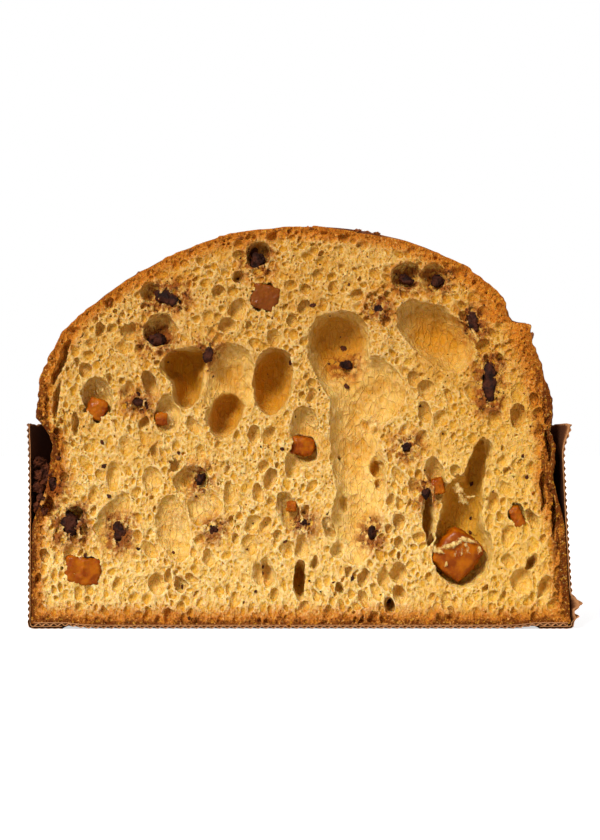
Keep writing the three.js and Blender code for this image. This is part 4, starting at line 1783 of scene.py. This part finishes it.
@dataclass
class Scraps:
    """What the knife left: torn films, chocolate dust on the crumb and flakes of crust.

    tiles are the pieces of crumb that the specks lie on. The tables give each scrap's X, Z and size.
    """

    outline: Outline
    tiles: Sequence[bpy.types.Object]
    seed: int = 7
    speck_count: int = 150
    film_rows: int = 18
    film_thickness: float = 0.12
    roughness: float = 0.16

    DARK_DOTS: ClassVar[tuple[tuple[float, float, float], ...]] = (
        (-18.0, 142.0, 1.3), (-74.0, 61.0, 0.9), (-46.0, 66.0, 0.9), (-81.0, 27.7, 0.8), (-6.0, 33.0, 1.0),
        (-17.0, 14.2, 1.0), (-14.6, 23.0, 0.8), (-14.6, 20.8, 0.7), (19.1, 19.1, 0.9), (-3.8, 100.1, 0.8),
        (-7.0, 67.5, 0.9), (64.9, 40.9, 0.6), (64.5, 35.6, 0.7), (65.2, 54.0, 0.8), (83.2, 64.9, 0.7),
        (84.8, 57.0, 0.7), (-44.6, 15.4, 0.9), (-42.0, 4.0, 1.1), (-23.6, 131.6, 1.0), (44.6, 83.9, 0.8),
        (16.6, 105.4, 1.2), (18.1, 99.0, 1.4), (17.2, 91.1, 0.9), (-57.6, 83.4, 1.2), (-61.1, 88.0, 0.9),
        (-74.6, 70.0, 0.9), (4.3, 121.5, 0.9), (0.8, 39.8, 1.0), (33.0, 10.2, 1.6), (39.4, 68.0, 0.8),
        (40.9, 69.2, 0.7), (26.0, 34.5, 0.9), (-48.0, 28.6, 0.8), (-72.0, 50.0, 0.9), (-91.0, 64.0, 1.1),
    )
    CLUMPS: ClassVar[tuple[tuple[float, float, float], ...]] = (
        (-98.6, 62.5, 2.4), (-95.8, 60.0, 2.1), (-98.2, 57.6, 2.5), (-95.4, 55.4, 2.0), (-98.8, 53.2, 2.2),
        (-97.6, 49.2, 1.8), (-98.8, 45.6, 1.9), (-96.6, 44.0, 1.4), (-94.6, 58.0, 1.5),
    )
    FLAKES: ClassVar[tuple[tuple[float, float, float], ...]] = (
        (-22.9, 146.9, 1.7), (20.5, 149.2, 2.0), (24.5, 148.8, 1.7), (28.5, 148.4, 1.5), (-61.5, 133.1, 1.2),
        (84.6, 112.6, 2.2), (86.4, 109.8, 1.6), (-72.0, 122.3, 1.1), (-8.0, 149.9, 1.1), (4.0, 150.4, 1.3),
        (62.0, 133.2, 1.2), (-36.0, 144.6, 1.2), (75.0, 121.6, 1.2), (-48.5, 139.2, 1.1),
    )

    def __post_init__(self) -> None:
        """Starts the random draws."""
        self.random = np.random.default_rng(self.seed)

    def build(self) -> list[bpy.types.Object]:
        """Makes the films, specks and flakes."""
        return [self.films(), self.specks(), self.flakes()]

    def films(self) -> bpy.types.Object:
        """All torn films in one piece."""
        made = [self._film(web, index) for index, web in enumerate(WEBS)]
        piece = self._joined(made, "crumb_films")
        Bench.seat(piece, Slot.BREAD, FilmFinish().build())
        return piece

    def _film(self, web: Web, index: int) -> bpy.types.Object:
        """One film: a sheet pulled to an uneven round and crumpled.

        Args:
            web: The film's sizes.
            index: Its number, which varies its rim.

        Returns:
            The film.
        """
        Bench.clear()
        rows = self.film_rows
        bpy.ops.mesh.primitive_grid_add(x_subdivisions=rows, y_subdivisions=rows, size=2.0)
        piece = bpy.context.object
        corners = Bench.corners(piece) * MM
        u, v = corners[:, 0], corners[:, 1]
        across, up = u * np.sqrt(1.0 - v * v / 2.0), v * np.sqrt(1.0 - u * u / 2.0)
        away = np.hypot(across, up)
        turn = np.arctan2(up, across)
        ragged = 1.0 + 0.16 * np.sin(3.0 * turn + index) + 0.11 * np.sin(7.0 * turn + 2.0 * index)
        ragged += 0.07 * np.sin(13.0 * turn + 5.0 * index)
        across, up = across * ragged * web.width / 2.0, up * ragged * web.height / 2.0
        crumple = 0.22 * np.sin(2.1 * across + index) + 0.2 * np.sin(2.7 * up - index)
        lean = math.radians(web.tilt)
        x = web.x + across * math.cos(lean) + up * math.sin(lean)
        z = web.z - across * math.sin(lean) + up * math.cos(lean)
        y = self.outline.cut + web.back + web.bulge * (1.0 - away * away) + crumple
        Bench.move_corners(piece, np.stack([x, y, z], axis=1))
        Bench.mark(piece, "solid", web.solid * (1.5 - 1.35 * away * away))
        Bench.apply(piece, "SOLIDIFY", thickness=self.film_thickness * MM, offset=0.0)
        Bench.take(piece)
        bpy.ops.object.shade_smooth()
        return piece

    def specks(self) -> bpy.types.Object:
        """Crumbs of chocolate on the cut face.

        Returns:
            All crumbs in one piece.
        """
        made = [self._nugget(x, z, size, 0.75) for x, z, size in self.DARK_DOTS]
        while len(made) < self.speck_count:
            x = self.random.normal(-5.0, 46.0)
            z = self.random.uniform(self.outline.bottom + 4.0, self.outline.top - 4.0)
            if self.outline.depth(np.float32(x), np.float32(self.outline.cut), np.float32(z)) > 3.0:
                made.append(self._nugget(x, z, 0.22 + 0.4 * self.random.uniform() ** 3, 0.9))
        for x, z, size in self.CLUMPS:
            clump = self._lump(size, self.random.uniform(0.8, 1.2, 3))
            clump.location = Vector((x, self.outline.cut + size + self.random.uniform(0.4, 1.6), z)) * MM
            made.append(Bench.settle(clump, "clump"))
        piece = self._joined([nugget for nugget in made if nugget], "chocolate_specks")
        finish = ChocolateFinish(dark=(0.035, 0.008, 0.003), brown=(0.11, 0.026, 0.007))
        Bench.seat(piece, Slot.CHOCOLATE, finish.build())
        return piece

    def flakes(self) -> bpy.types.Object:
        """Blistered flakes of crust that stand up along the skin.

        Returns:
            All flakes in one piece.
        """
        made = []
        for x, z, size in self.FLAKES:
            flake = self._lump(size, (1.0, 0.8, 0.36))
            side = math.atan2(x - float(self.outline.middle(z)), max(z - self.outline.dome_start, 1.0))
            flake.rotation_euler = (0.0, side + self.random.uniform(-0.3, 0.3), self.random.uniform(0.0, 3.0))
            flake.location = Vector((x, self.outline.cut + 1.2 + self.random.uniform(0.0, 1.6), z)) * MM
            made.append(Bench.settle(flake, "flake"))
        piece = self._joined(made, "crust_flakes")
        finish = CrustFinish(self.outline.rim_height, dark=(0.22, 0.055, 0.006))
        Bench.seat(piece, Slot.BREAD, finish.build())
        return piece

    def _lump(self, size: float, shape: Sequence[float]) -> bpy.types.Object:
        """A small broken lump.

        Args:
            size: Its radius.
            shape: Its share of that radius along each axis.

        Returns:
            The lump at the origin.
        """
        Bench.clear()
        bpy.ops.mesh.primitive_ico_sphere_add(subdivisions=2 if size < 1.2 else 3, radius=size * MM)
        piece = bpy.context.object
        corners = Bench.corners(piece)
        steps = self.random.normal(0.0, self.roughness * size, corners.shape)
        Bench.move_corners(piece, (corners + steps) * np.array(shape))
        return piece

    def _nugget(self, x: float, z: float, size: float, sink: float) -> bpy.types.Object | None:
        """A lump laid on the crumb in front of a place, or nothing where no crumb is met.

        Args:
            x: Where it lies across.
            z: How high it lies.
            size: Its radius.
            sink: How far it is pressed in.

        Returns:
            The lump, or None.
        """
        start = Vector((x, self.outline.cut - 8.0, z)) * MM
        met = [tile.ray_cast(start, Vector((0.0, 1.0, 0.0))) for tile in self.tiles]
        places = [place.y for hit, place, _, _ in met if hit]
        if not places:
            return None
        piece = self._lump(size, self.random.uniform(0.5, 1.4, 3))
        piece.rotation_euler = self.random.uniform(0.0, 3.0, 3)
        piece.location = Vector((x * MM, min(places) + (sink - 0.6) * size * MM, z * MM))
        return Bench.settle(piece, "nugget")

    @staticmethod
    def _joined(pieces: Sequence[bpy.types.Object], name: str) -> bpy.types.Object:
        """Joins pieces into one and names it.

        Args:
            pieces: At least one.
            name: The new name.

        Returns:
            The joined piece.
        """
        Bench.take(pieces[0])
        for other in pieces[1:]:
            other.select_set(True)
        bpy.ops.object.join()
        return Bench.settle(bpy.context.object, name)


# ---------------------------------------------------------------------------------------------------------
# Studio
# ---------------------------------------------------------------------------------------------------------


@dataclass(frozen=True)
class Studio:
    """A white sweep, a large soft key light from the upper left and a level camera with a long lens."""

    cut: float
    eye_height: float = 78.4
    view_height: float = 315.0
    lens: float = 100.0
    sensor: float = 36.0
    view_middle: float = -0.4
    key_from: tuple[float, float, float] = (-0.56, -1.0, 0.80)
    key_power: float = 3.6
    key_spread: float = 21.0
    back_from: tuple[float, float, float] = (0.7, 1.0, 0.9)
    back_power: float = 0.9
    back_spread: float = 40.0
    sky: float = 0.42

    def build(self) -> None:
        """Sets the floor, lights, world and camera."""
        scene = bpy.context.scene
        scene.view_settings.view_transform = "Standard"
        scene.view_settings.look = "None"
        self._floor()
        self._world(scene)
        self._sun("key", self.key_from, self.key_power, self.key_spread)
        self._sun("back", self.back_from, self.back_power, self.back_spread)
        self._camera(scene)

    def _floor(self) -> None:
        """A large pale floor that looks white to the camera and keeps a faint shadow."""
        Bench.clear()
        bpy.ops.mesh.primitive_plane_add(size=8.0, location=(0.0, 0.0, -0.1 * MM))
        floor = bpy.context.object
        floor.name = "floor"
        shader = Shader("floor_white")
        seen = shader.node("ShaderNodeLightPath", output="Is Camera Ray")
        glow = shader.blend(seen, (0.0, 0.0, 0.0), (0.62, 0.62, 0.62))
        material = shader.dress((0.72, 0.72, 0.72), 0.9, None, 0.0, Specular_IOR_Level=0.0,
                                Emission_Color=glow, Emission_Strength=1.0)
        floor.data.materials.append(material)

    def _world(self, scene: bpy.types.Scene) -> None:
        """A white backdrop with a softer sky behind it.

        Args:
            scene: The scene to light.
        """
        world = bpy.data.worlds.new("white")
        world.use_nodes = True
        nodes, links = world.node_tree.nodes, world.node_tree.links
        seen = nodes.new("ShaderNodeLightPath")
        strength = nodes.new("ShaderNodeMapRange")
        strength.inputs["To Min"].default_value = self.sky
        strength.inputs["To Max"].default_value = 1.0
        links.new(seen.outputs["Is Camera Ray"], strength.inputs["Value"])
        nodes["Background"].inputs["Color"].default_value = (1.0, 1.0, 1.0, 1.0)
        links.new(strength.outputs[0], nodes["Background"].inputs["Strength"])
        scene.world = world

    def _sun(self, name: str, towards: Sequence[float], power: float, spread: float) -> None:
        """A soft distant light.

        Args:
            name: The lamp's name.
            towards: The direction in which it stands.
            power: Its strength.
            spread: The angle it fills, in degrees.
        """
        data = bpy.data.lights.new(name, "SUN")
        data.energy, data.angle = power, math.radians(spread)
        lamp = bpy.data.objects.new(name, data)
        bpy.context.scene.collection.objects.link(lamp)
        lamp.rotation_euler = Vector(towards).to_track_quat("Z", "Y").to_euler()

    def _camera(self, scene: bpy.types.Scene) -> None:
        """A level camera square on to the cut.

        Args:
            scene: The scene to view.
        """
        data = bpy.data.cameras.new("camera")
        data.lens, data.sensor_width = self.lens, self.sensor
        data.dof.use_dof = False
        camera = bpy.data.objects.new("camera", data)
        scene.collection.objects.link(camera)
        away = self.view_height * self.lens / self.sensor
        camera.location = Vector((self.view_middle, self.cut - away, self.eye_height)) * MM
        camera.rotation_euler = (math.pi / 2.0, 0.0, 0.0)
        scene.camera = camera


def main() -> None:
    """Loads the frame, builds every sub-assembly and stages it."""
    logging.basicConfig(level=logging.INFO, format="%(message)s", stream=sys.stdout)
    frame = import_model()
    outline = Outline.from_frame()
    inclusions = Inclusions(frame["nodes"])
    crumb_and_crust = Loaf(outline, inclusions.names).build()
    for part in (PaperCase(outline), inclusions, Scraps(outline, crumb_and_crust[:-1])):
        pieces = part.build()
        log.info("%s: %d pieces", type(part).__name__, len(pieces))
    Studio(outline.cut).build()


if __name__ == "__main__":
    main()
